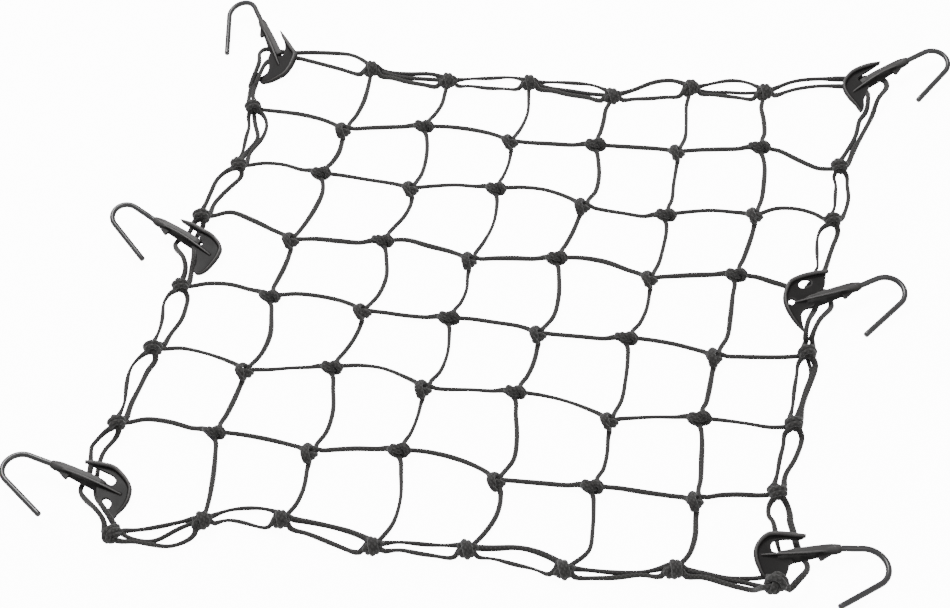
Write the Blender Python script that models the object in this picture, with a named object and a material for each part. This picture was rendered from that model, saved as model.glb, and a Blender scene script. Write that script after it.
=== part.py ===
"""Cargo net: an elastic-cord net of seven by seven meshes, laid flat, with six clip-on hooks.

Every length is in millimetres until it reaches the scene, which is in metres.
The net lies in the XY plane with its underside on z = 0; +Y is the far edge, +X the right edge.
"""

import math
from collections import namedtuple

import bmesh
import bpy
from mathutils import Matrix, Vector

MM = 0.001
WELD = 0.000002         # points of a finished solid this close, in metres, are one

# ---------------------------------------------------------------- net sizes
CORD_R = 1.15           # mesh cord, radius
EDGE_R = 1.3            # border cord, radius
KNOT = (5.0, 4.4)       # knot half sizes in plan: along the diagonal and across it
KNOT_H = 7.8            # knot height
LINE_OFFSET = 1.45      # the border strands cross each knot this far either side of its centre
KNOT_LIFT = 0.5         # how far a cord climbs off the floor where it enters a knot
SEAT = 0.35             # clearance between a cord and the claw it passes
SIX_SIDED = math.cos(math.pi / 6)  # a six-sided cord's half height, as a share of its radius
FLUKE_KNOT_Z = 12.95    # the near right knot lies on its claw's fluke, this high

# One row per mesh cord. place = the eight knots' distance along the other axis,
# bow = how far each of the seven spans bellies out at its middle.
Cord = namedtuple("Cord", "name place bow")

ROWS = (
    Cord("row_0", (189, 185, 180, 185, 179, 192, 194, 196), None),
    Cord("row_1", (139, 126, 136, 129, 133, 133, 143, 132), (5, 2, 5, 0, 2, 1, -2)),
    Cord("row_2", (85, 85, 79, 86, 78, 77, 84, 85), (5, 2, 4, 8, -2, 5, 9)),
    Cord("row_3", (36, 25, 31, 23, 32, 23, 33, 32), (8, 0, 5, 1, 6, 2, -2)),
    Cord("row_4", (-23, -23, -27, -25, -29, -26, -32, -23), (7, 7, 0, 3, 0, 3, -1)),
    Cord("row_5", (-74, -83, -73, -81, -77, -89, -80, -77), (6, 1, 8, 1, 5, 2, -1)),
    Cord("row_6", (-133, -131, -137, -129, -141, -137, -138, -126), (5, 3, 2, 6, 0, 1, 2)),
    Cord("row_7", (-211, -194, -186, -196, -190, -195, -186, -198), None),
)

COLUMNS = (
    Cord("column_0", (-197, -198, -191, -199, -194, -194, -196, -172), None),
    Cord("column_1", (-131, -133, -137, -138, -138, -134, -138, -125), (4, 4, 5, 1, 7, 1, 2)),
    Cord("column_2", (-78, -83, -76, -82, -78, -85, -79, -82), (4, 5, 4, 8, 3, 7, 4)),
    Cord("column_3", (-25, -24, -24, -26, -27, -27, -30, -27), (5, 3, 6, 4, 6, 2, 8)),
    Cord("column_4", (31, 29, 33, 26, 29, 25, 30, 24), (0, 6, 1, 6, 3, 6, 7)),
    Cord("column_5", (79, 82, 84, 85, 80, 83, 82, 78), (1, 1, 3, 4, 4, 3, 9)),
    Cord("column_6", (126, 131, 138, 134, 133, 131, 140, 136), (1, 4, 2, 3, 1, 2, 5)),
    Cord("column_7", (191, 182, 184, 182, 184, 184, 182, 193), None),
)

# One row per border span, clockwise from the far left corner. Each strand's bow is given
# towards +Y on the far and near edges and towards +X on the side edges.
Span = namedtuple("Span", "name outer inner third")

BORDER = (
    Span("far_0", 7, -4, None),
    Span("far_1", 3, -1, -5),
    Span("far_2", 4, -6, None),
    Span("far_3", 6, -4, None),
    Span("far_4", 12, -4, None),
    Span("far_5", 11, -1, -6),
    Span("far_6", 12, 4, None),
    Span("right_0", 6, 1, None),
    Span("right_1", 8, 0, None),
    Span("right_2", 5, -6, None),
    Span("right_3", 2, -2, None),
    Span("right_4", 8, -4, 3),
    Span("right_5", 7, -3, None),
    Span("right_6", 8, -4, None),
    Span("near_6", -3, 4, -1),
    Span("near_5", -7, -2, None),
    Span("near_4", -5, 10, None),
    Span("near_3", -5, 3, None),
    Span("near_2", -8, 5, None),
    Span("near_1", -5, 8, None),
    Span("near_0", -12, 0, -7),
    Span("left_6", -12, -4, None),
    Span("left_5", -10, 3, None),
    Span("left_4", -4, 8, None),
    Span("left_3", -2, 2, None),
    Span("left_2", -10, 6, None),
    Span("left_1", 0, 10, 4),
    Span("left_0", -2, 2, None),
)

# ---------------------------------------------------------------- hook sizes
WIRE_R = 1.7            # coated wire, radius
WIRE_START = 33.0       # where the wire ends inside the shank
WIRE_Y = -1.3           # wire axis beside the claw's own axis
BEND_X = 57.0           # centre of the hook's bend
BEND_Y = 9.0
BEND_TURN = 157.0       # degrees the bend turns through
LEG = 32.0              # straight free leg beyond the bend
SOCKET_R = 2.05         # bore in the shank
SOCKET_END = 31.5
SHANK_END = 44.0
PLATE_T = 2.5           # claw plate thickness
RIM_H = 3.2             # rim wall above the plate's middle
RIM_W = 1.8
FIN_W = 1.3

# One row per hook: the fin's tip, its heading, the rise of the shank along that heading,
# the dip of the open side, and which side the hook opens to (+1 left of the heading).
Hook = namedtuple("Hook", "name x y z heading rise dip side")

HOOKS = (
    Hook("far_left", -191, 180, 5.6, 126, 6, 12, 1),
    Hook("mid_left", -185, 6, 5.2, 160, 8, 6, 1),
    Hook("near_left", -178, -184, 5.2, 168, 7, 5, 1),
    Hook("far_right", 180, 200, 5.6, 40, 5, 7, -1),
    Hook("mid_right", 172, 2, 10.6, 34, -4, 11, -1),
    Hook("near_right", 181, -178, 10.9, 22, -5, 11, -1),
)

# Claw outline, seen from above, x from the fin's tip towards the wire. The open side is +y.
# One row per arm: the edge points run from the arm's tip towards the claw's axis.
Arm = namedtuple("Arm", "name outer inner")

ARMS = (
    Arm("horn",
        ((30, -14), (24, -16.3), (17, -17), (9, -15.6), (2, -12), (-3.5, -6), (-6.2, 0)),
        ((30, -13), (21, -12.2), (14.5, -10.8), (9.5, -9), (7.5, -6), (9, -3))),
    Arm("fluke",
        ((6.5, 20), (1.5, 19.5), (-3.5, 16.6), (-6.3, 12), (-7.2, 6)),
        ((7, 18), (4, 15), (1.4, 11.5), (1.6, 8), (5, 5), (10, 3))),
)

# Shank stations along the axis: distance from the fin's tip, radius, height of the centre.
Station = namedtuple("Station", "x radius z")

SHANK = (
    Station(5.0, 0.9, 0.3),
    Station(12.0, 2.1, 0.6),
    Station(24.0, 2.9, 0.4),
    Station(36.0, 3.0, 0.0),
    Station(42.0, 2.9, 0.0),
    Station(SHANK_END, 2.6, 0.0),
)

# Where the two border strands run past a claw: x, y in the hook's own plan, and whether
# they lie on the floor there or over the fluke. One row per point.
Pass = namedtuple("Pass", "x_outer y_outer x_inner y_inner over")

SIDE_RUN = (
    Pass(22, -14, 18, -15, False),
    Pass(21, -2, 14, -2, False),
    Pass(23, 5, 12, 3, False),
    Pass(20, 9, 10, 8, False),
    Pass(9.5, 13.5, 6, 13.5, True),
    Pass(4.5, 21.5, 0.5, 21.5, True),
)
CORNER_RUN = (
    Pass(4, -14, -1, -9, False),
    Pass(15, -4, 9, -2, False),
    Pass(22, 2, 12, 2, False),
    Pass(20, 8, 10, 8, False),
    Pass(9.5, 13.5, 6, 13.5, True),
    Pass(4.5, 21.5, 0.5, 21.5, True),
)
KNOT_EXIT = (
    Pass(-4, 23.5, -4.5, 20.5, True),
)


# ---------------------------------------------------------------- helpers
def clear_scene():
    """Remove every object so that the script starts from nothing."""
    for obj in list(bpy.data.objects):
        bpy.data.objects.remove(obj, do_unlink=True)


def material(name, colour, roughness):
    """Make a plain Principled material."""
    mat = bpy.data.materials.new(name)
    mat.use_nodes = True
    shader = mat.node_tree.nodes["Principled BSDF"]
    shader.inputs["Base Color"].default_value = (*colour, 1.0)
    shader.inputs["Roughness"].default_value = roughness
    mat.diffuse_color = (*colour, 1.0)
    return mat


def mesh_object(name, bm, collection):
    """Turn a bmesh into a named object."""
    bmesh.ops.remove_doubles(bm, verts=bm.verts, dist=0.00001)
    bmesh.ops.recalc_face_normals(bm, faces=bm.faces)
    mesh = bpy.data.meshes.new(name)
    bm.to_mesh(mesh)
    bm.free()
    obj = bpy.data.objects.new(name, mesh)
    collection.objects.link(obj)
    return obj


def tubes(name, paths, radius, resolution, collection, closed=False):
    """Sweep round tubes along polylines; a path point is (x, y, z) or (x, y, z, scale)."""
    curve = bpy.data.curves.new(name, "CURVE")
    curve.dimensions = "3D"
    curve.twist_mode = "Z_UP"
    curve.bevel_depth = radius * MM
    curve.bevel_resolution = resolution
    curve.use_fill_caps = True
    for path in paths:
        spline = curve.splines.new("POLY")
        spline.points.add(len(path) - 1)
        spline.use_cyclic_u = closed
        for point, at in zip(spline.points, path):
            point.co = (at[0] * MM, at[1] * MM, at[2] * MM, 1.0)
            point.radius = at[3] if len(at) > 3 else 1.0
    holder = bpy.data.objects.new(name + "_path", curve)
    collection.objects.link(holder)
    bpy.context.view_layer.update()
    graph = bpy.context.evaluated_depsgraph_get()
    mesh = bpy.data.meshes.new_from_object(holder.evaluated_get(graph))
    bpy.data.objects.remove(holder, do_unlink=True)
    bm = bmesh.new()
    bm.from_mesh(mesh)
    bpy.data.meshes.remove(mesh)
    return mesh_object(name, bm, collection)


def slab(name, outline, low, high, collection):
    """Extrude a plan outline between two heights."""
    bm = bmesh.new()
    ring = [bm.verts.new((x * MM, y * MM, low * MM)) for x, y in outline]
    face = bm.faces.new(ring)
    grown = bmesh.ops.extrude_face_region(bm, geom=[face])["geom"]
    rise = Vector((0, 0, (high - low) * MM))
    bmesh.ops.translate(bm, verts=[v for v in grown if isinstance(v, bmesh.types.BMVert)], vec=rise)
    return mesh_object(name, bm, collection)


def boolean(target, tool, operation):
    """Apply an exact Boolean and drop the tool."""
    modifier = target.modifiers.new(operation.lower(), "BOOLEAN")
    modifier.operation = operation
    modifier.solver = "EXACT"
    modifier.object = tool
    bpy.context.view_layer.update()
    graph = bpy.context.evaluated_depsgraph_get()
    mesh = bpy.data.meshes.new_from_object(target.evaluated_get(graph))
    target.modifiers.clear()
    old = target.data
    target.data = mesh
    bpy.data.meshes.remove(old)
    bpy.data.objects.remove(tool, do_unlink=True)
    return target


def finish(obj, mat, smooth):
    """Clean the mesh, drop points that lie along an edge, give it its material and shading."""
    bm = bmesh.new()
    bm.from_mesh(obj.data)
    mid_edge = [v for v in bm.verts if len(v.link_edges) == 2]
    bmesh.ops.dissolve_verts(bm, verts=mid_edge)
    bmesh.ops.remove_doubles(bm, verts=bm.verts, dist=WELD)
    bmesh.ops.dissolve_degenerate(bm, edges=bm.edges, dist=WELD)
    bmesh.ops.triangulate(bm, faces=bm.faces)
    bmesh.ops.recalc_face_normals(bm, faces=bm.faces)
    for face in bm.faces:
        face.smooth = smooth
    bm.to_mesh(obj.data)
    bm.free()
    obj.data.materials.clear()
    obj.data.materials.append(mat)


# ---------------------------------------------------------------- hook frame
def hook_matrix(hook):
    """Place of a hook: plan position, heading, then its rise and dip."""
    turn = Matrix.Rotation(math.radians(hook.heading), 4, "Z")
    rise = Matrix.Rotation(math.radians(-hook.rise), 4, "Y")
    dip = Matrix.Rotation(math.radians(-hook.side * hook.dip), 4, "X")
    return Matrix.Translation(Vector((hook.x, hook.y, hook.z))) @ turn @ rise @ dip


def on_hook(hook, x, y, z):
    """A point given in the hook's own frame, in net coordinates."""
    return hook_matrix(hook) @ Vector((x, hook.side * y, z))


# ---------------------------------------------------------------- net
def knot_at(row, column):
    """Centre of a knot in plan."""
    return COLUMNS[column].place[row], ROWS[row].place[column]


def span_points(start, end, bow, side, height, steps):
    """Points inside a span that bellies out by bow towards the side direction."""
    points = []
    for step in range(1, steps):
        t = step / steps
        belly = bow * math.sin(math.pi * t) ** 0.8
        points.append((start[0] + (end[0] - start[0]) * t + side[0] * belly,
                       start[1] + (end[1] - start[1]) * t + side[1] * belly, height))
    return points


def mesh_cord(cord, index, along_row):
    """One mesh cord, from border knot to border knot, resting on the floor."""
    knots = [knot_at(index, n) if along_row else knot_at(n, index) for n in range(8)]
    side = (0, 1) if along_row else (1, 0)
    floor = CORD_R * SIX_SIDED
    path = []
    for n in range(7):
        path.append((*knots[n], floor + KNOT_LIFT))
        steps = 3 if abs(cord.bow[n]) > 3 else 2
        path += span_points(knots[n], knots[n + 1], cord.bow[n], side, floor, steps)
    path.append((*knots[7], floor + KNOT_LIFT))
    return path


def border_stations():
    """The border knots and corners in order, clockwise from the far left corner."""
    ring = [(0, n) for n in range(8)] + [(n, 7) for n in range(1, 8)]
    return ring + [(7, n) for n in range(6, -1, -1)] + [(n, 0) for n in range(6, -1, -1)]


def knot_floor(row, column):
    """Height of a knot's underside: on the floor, but for the one on a fluke."""
    return FLUKE_KNOT_Z - KNOT_H / 2 if (row, column) == (7, 7) else 0.0


def run_past(hook, run, outer, reverse):
    """The points where a border strand passes one claw."""
    points = []
    for step in run:
        x, y = (step.x_outer, step.y_outer) if outer else (step.x_inner, step.y_inner)
        place = on_hook(hook, x, y, PLATE_T / 2)
        height = place.z + SEAT + EDGE_R if step.over else EDGE_R * SIX_SIDED
        points.append((place.x, place.y, height))
    return points[::-1] if reverse else points


def border_line(outer):
    """The outer or inner strand that runs right round the border."""
    hooks = {hook.name: hook for hook in HOOKS}
    runs = {
        "far_0": run_past(hooks["far_left"], CORNER_RUN, outer, True),
        "right_0": run_past(hooks["far_right"], CORNER_RUN, outer, False),
        "right_3": run_past(hooks["mid_right"], SIDE_RUN, outer, False),
        "right_6": run_past(hooks["near_right"], SIDE_RUN[:-1], outer, False),
        "left_6": run_past(hooks["near_left"], SIDE_RUN, outer, True),
        "left_3": run_past(hooks["mid_left"], SIDE_RUN, outer, True),
    }
    stations = border_stations()
    floor = EDGE_R * SIX_SIDED
    path = []
    for n, span in enumerate(BORDER):
        level = span.name.startswith(("far", "near"))
        side = (0, 1) if level else (1, 0)
        outward = 1 if span.name.startswith(("far", "right")) else -1
        shift = outward * (LINE_OFFSET if outer else -LINE_OFFSET)
        bow = span.outer if outer else span.inner
        here, after = knot_at(*stations[n]), knot_at(*stations[n + 1])
        if span.name in ("far_0", "right_0"):
            path += runs[span.name]
            here = path[-1]
        else:
            base = knot_floor(*stations[n]) + floor + KNOT_LIFT
            path.append((here[0] + side[0] * shift, here[1] + side[1] * shift, base))
        if span.name == "near_6":
            path += run_past(hooks["near_right"], KNOT_EXIT, outer, False)
        if span.name == "far_6":
            after = runs["right_0"][0]
        if span.name == "left_0":
            after = runs["far_0"][0]
        if span.name == "right_6":
            path += span_points(here, runs["right_6"][0], bow, side, floor, 2)
        if span.name in ("right_3", "right_6", "left_6", "left_3"):
            path += runs[span.name]
            if span.name == "left_6":
                path += span_points(path[-1], after, bow, side, floor, 2)
        else:
            path += span_points(here, after, bow, side, floor, 3 if abs(bow) > 2 else 2)
    return path


def third_strands():
    """The short third strands, each from inside one knot to inside the next."""
    stations = border_stations()
    paths = []
    for n, span in enumerate(BORDER):
        if span.third is None:
            continue
        a, b = knot_at(*stations[n]), knot_at(*stations[n + 1])
        side = (0, 1) if span.name.startswith(("far", "near")) else (1, 0)
        inside = EDGE_R + 2 * KNOT_LIFT
        belly = span_points(a, b, span.third, side, EDGE_R, 3)
        paths.append([(*a, inside)] + belly + [(*b, inside)])
    return paths


# One row per ring of a knot, upwards: share of the plan size and of the height.
Ring = namedtuple("Ring", "plan height")

KNOT_RINGS = (Ring(0.82, 0.0), Ring(1.0, 0.42), Ring(0.74, 0.86))


def knots(collection):
    """Every knot: a low ball, flat where it rests, turned along one mesh diagonal."""
    bm = bmesh.new()
    sides = 8
    for row in range(8):
        for column in range(8):
            if (row, column) in ((0, 0), (0, 7)):
                continue
            x, y = knot_at(row, column)
            base = knot_floor(row, column)
            turn = math.radians(35 if (row + column) % 2 else -35)
            levels = []
            for ring in KNOT_RINGS:
                level = []
                for n in range(sides):
                    angle = 2 * math.pi * (n + 0.5) / sides
                    u, v = KNOT[0] * math.cos(angle), KNOT[1] * math.sin(angle)
                    level.append(bm.verts.new((
                        (x + ring.plan * (u * math.cos(turn) - v * math.sin(turn))) * MM,
                        (y + ring.plan * (u * math.sin(turn) + v * math.cos(turn))) * MM,
                        (base + KNOT_H * ring.height) * MM)))
                levels.append(level)
            top = bm.verts.new((x * MM, y * MM, (base + KNOT_H) * MM))
            bm.faces.new(levels[0][::-1])
            for low, high in zip(levels, levels[1:]):
                for n in range(sides):
                    m = (n + 1) % sides
                    bm.faces.new((low[n], low[m], high[m], high[n]))
            for n in range(sides):
                bm.faces.new((levels[-1][n], levels[-1][(n + 1) % sides], top))
    return mesh_object("knots", bm, collection)


def build_net(collection, mat):
    """Fuse the cords and knots into one solid."""
    across = [mesh_cord(ROWS[n], n, True) for n in range(1, 7)]
    along = [mesh_cord(COLUMNS[n], n, False) for n in range(1, 7)]
    net = knots(collection)
    boolean(net, tubes("rows", across, CORD_R, 1, collection), "UNION")
    boolean(net, tubes("columns", along, CORD_R, 1, collection), "UNION")
    boolean(net, tubes("outer_edge", [border_line(True)], EDGE_R, 1, collection, True), "UNION")
    boolean(net, tubes("inner_edge", [border_line(False)], EDGE_R, 1, collection, True), "UNION")
    boolean(net, tubes("third_edge", third_strands(), EDGE_R, 1, collection), "UNION")
    net.name = "net"
    finish(net, mat, False)
    return net


# ---------------------------------------------------------------- hooks
def wire_path():
    """Centre line of the wire in the hook's own frame, open side +y."""
    radius = BEND_Y - WIRE_Y
    path = [(WIRE_START, WIRE_Y, 0), (BEND_X - 6, WIRE_Y, 0)]
    steps = 9
    for n in range(steps + 1):
        turn = math.radians(BEND_TURN * n / steps)
        path.append((BEND_X + radius * math.sin(turn), BEND_Y - radius * math.cos(turn), 0))
    heading = math.radians(BEND_TURN)
    end = path[-1]
    for length, scale in ((LEG - 1.6, 1.0), (LEG - 0.6, 0.85), (LEG, 0.45)):
        path.append((end[0] + length * math.cos(heading),
                     end[1] + length * math.sin(heading), 0, scale))
    return path


def build_wire(hook, collection, mat):
    """The coated wire of one hook."""
    path = [(p[0], hook.side * p[1], *p[2:]) for p in wire_path()]
    wire = tubes("wire_" + hook.name, [path], WIRE_R, 2, collection)
    place = hook_matrix(hook)
    place.translation *= MM
    wire.data.transform(place)
    finish(wire, mat, True)
    return wire


def claw_outline(side):
    """Plan outline of the claw plate, both arms, in order round its edge."""
    horn, fluke = ARMS
    points = list(horn.outer) + list(fluke.outer)[::-1] + list(fluke.inner) + list(horn.inner)[::-1]
    return [(x, side * y) for x, y in points]


def rim_outline(side):
    """Plan outline of the rim wall: a band just inside the outer edge."""
    horn, fluke = ARMS
    outer = list(horn.outer)[1:] + list(fluke.outer)[:1:-1]
    centre = Vector((9.0, 1.0))
    inner = []
    for x, y in outer:
        inward = (centre - Vector((x, y))).normalized()
        inner.append((x + inward.x * RIM_W, y + inward.y * RIM_W))
    shrunk = [(x + 0.03 * (9 - x), y + 0.03 * (1 - y)) for x, y in outer]
    return [(x, side * y) for x, y in shrunk + inner[::-1]]


def build_claw(hook, collection, mat):
    """The moulded claw of one hook, with the socket its wire sits in."""
    side = hook.side
    claw = slab("claw_" + hook.name, claw_outline(side), -PLATE_T / 2, PLATE_T / 2, collection)
    boolean(claw, slab("rim", rim_outline(side), -0.4, RIM_H, collection), "UNION")
    shank = [(s.x, side * WIRE_Y, s.z, s.radius / SHANK[3].radius) for s in SHANK]
    boolean(claw, tubes("shank", [shank], SHANK[3].radius, 2, collection), "UNION")
    barb = [(x, side * y) for x, y in ((39, 0.2), (31, 5.0), (30.6, 2.6), (29, 0.2))]
    boolean(claw, slab("barb", barb, -1.0, 1.0, collection), "UNION")
    fin = slab("fin", ((-0.4, 0.6), (12, 3.5), (24, 4.1), (34, 2.6), (34, 0.4), (-0.4, 0.3)),
               -FIN_W / 2, FIN_W / 2, collection)
    fin.data.transform(Matrix.Rotation(math.radians(90), 4, "X"))
    fin.data.transform(Matrix.Translation(Vector((0, side * WIRE_Y * 0.5 * MM, 0))))
    boolean(claw, fin, "UNION")
    bore = tubes("bore", [[(SOCKET_END, side * WIRE_Y, 0), (SHANK_END + 3, side * WIRE_Y, 0)]],
                 SOCKET_R, 2, collection)
    boolean(claw, bore, "DIFFERENCE")
    place = hook_matrix(hook)
    place.translation *= MM
    claw.data.transform(place)
    finish(claw, mat, False)
    return claw


# ---------------------------------------------------------------- assembly
def centre(objects):
    """Bring the whole set's box centre to x = y = 0 and its lowest point to z = 0."""
    corners = [v.co for obj in objects for v in obj.data.vertices]
    low = Vector([min(c[i] for c in corners) for i in range(3)])
    high = Vector([max(c[i] for c in corners) for i in range(3)])
    move = Matrix.Translation(-Vector(((low.x + high.x) / 2, (low.y + high.y) / 2, low.z)))
    for obj in objects:
        obj.data.transform(move)


def main():
    clear_scene()
    collection = bpy.context.scene.collection
    cord = material("elastic_cord", (0.045, 0.043, 0.042), 0.75)
    moulded = material("moulded_plastic", (0.06, 0.058, 0.058), 0.5)
    coated = material("coated_wire", (0.04, 0.04, 0.041), 0.35)
    made = [build_net(collection, cord)]
    for hook in HOOKS:
        made.append(build_claw(hook, collection, moulded))
        made.append(build_wire(hook, collection, coated))
    centre(made)


main()
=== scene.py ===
"""Cargo net, dressed: braided elastic cords with tied knots, moulded claws and coated wire hooks.

Lengths are in millimetres in the net's own plan, and become metres where a mesh is made.
"""

from __future__ import annotations

import logging
import math
from dataclasses import dataclass, field
from enum import Enum

import bmesh
import bpy
import numpy as np
from mathutils import Matrix, Vector

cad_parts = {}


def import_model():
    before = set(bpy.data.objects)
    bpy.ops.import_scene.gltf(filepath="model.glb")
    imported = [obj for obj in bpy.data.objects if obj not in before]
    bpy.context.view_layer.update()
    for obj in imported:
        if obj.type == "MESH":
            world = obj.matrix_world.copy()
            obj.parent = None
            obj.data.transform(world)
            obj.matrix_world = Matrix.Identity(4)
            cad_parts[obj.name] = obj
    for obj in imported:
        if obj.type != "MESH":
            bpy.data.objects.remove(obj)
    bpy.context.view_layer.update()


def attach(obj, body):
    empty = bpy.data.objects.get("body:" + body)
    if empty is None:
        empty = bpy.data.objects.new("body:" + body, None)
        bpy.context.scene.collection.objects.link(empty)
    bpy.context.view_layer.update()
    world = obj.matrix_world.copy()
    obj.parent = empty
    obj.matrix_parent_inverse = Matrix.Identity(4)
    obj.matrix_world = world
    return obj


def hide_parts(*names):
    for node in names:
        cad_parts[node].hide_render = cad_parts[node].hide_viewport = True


LOG = logging.getLogger("cargo_net")
MM = 0.001
PLAN_SHIFT = np.array([2.246, -12.101, 0.0])  # plan origin to the middle of the part's box
SPACING = 2.6  # between points along a cord
Points = np.ndarray
Colour = tuple[float, float, float]


# ---------------------------------------------------------------- named options
class KnotFace(Enum):
    """Which of its two cords a crossing knot shows on top at its near left side."""

    ROW = "row"
    COLUMN = "column"


class Edge(Enum):
    """The four edges of the net, as they lie from the camera."""

    FAR = "far"
    RIGHT = "right"
    NEAR = "near"
    LEFT = "left"


# ---------------------------------------------------------------- paths
def resample(path: Points, step: float) -> Points:
    """Space a polyline's points evenly.

    Args:
        path: Points in order, one row each.
        step: Wanted distance between points.

    Returns:
        The same line with points about step apart.
    """
    lengths = np.linalg.norm(np.diff(path, axis=0), axis=1)
    along = np.concatenate([[0.0], np.cumsum(lengths)])
    count = max(2, int(round(along[-1] / step)))
    wanted = np.linspace(0.0, along[-1], count + 1)
    return np.stack([np.interp(wanted, along, path[:, k]) for k in range(3)], axis=1)


def smooth_line(path: Points, per: int = 0) -> Points:
    """Run a centripetal Catmull-Rom spline through the points.

    Args:
        path: Control points, one row each.
        per: Points made for each stretch, or 0 to keep them a cord's spacing apart.

    Returns:
        The points of the smooth line.
    """
    full = np.vstack([2 * path[0] - path[1], path, 2 * path[-1] - path[-2]])
    gaps = np.maximum(np.linalg.norm(np.diff(full, axis=0), axis=1), 1e-6)
    knots = np.concatenate([[0.0], np.cumsum(gaps ** 0.5)])
    made = []
    for n in range(1, len(full) - 2):
        a, b, c, d = full[n - 1:n + 3]
        t0, t1, t2, t3 = knots[n - 1:n + 3]
        count = per or max(1, int(round(gaps[n] / SPACING)))
        for t in np.linspace(t1, t2, count, endpoint=False):
            ab = a + (b - a) * (t - t0) / (t1 - t0)
            bc = b + (c - b) * (t - t1) / (t2 - t1)
            cd = c + (d - c) * (t - t2) / (t3 - t2)
            abc = ab + (bc - ab) * (t - t0) / (t2 - t0)
            bcd = bc + (cd - bc) * (t - t1) / (t3 - t1)
            made.append(abc + (bcd - abc) * (t - t1) / (t2 - t1))
    made.append(full[-2])
    return np.array(made)


def turned(points: Points, degrees: float) -> Points:
    """Turn points about the vertical axis through the origin.

    Args:
        points: Points, one row each.
        degrees: Angle, positive to the left.

    Returns:
        The turned points.
    """
    a = math.radians(degrees)
    turn = np.array([[math.cos(a), -math.sin(a), 0], [math.sin(a), math.cos(a), 0], [0, 0, 1]])
    return points @ turn.T


# ---------------------------------------------------------------- knots
@dataclass(frozen=True)
class KnotPose:
    """How a knot lies: mirrored or not, rolled about its own length, and which cord enters on top.

    Its size is a share of the tied one's, and the nudge moves it from where the others lie.
    """

    mirror: int
    roll: float
    top: KnotFace | None = None
    size: float = 1.0
    nudge: tuple[float, float, float] = (0.0, 0.0, 0.0)


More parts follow.
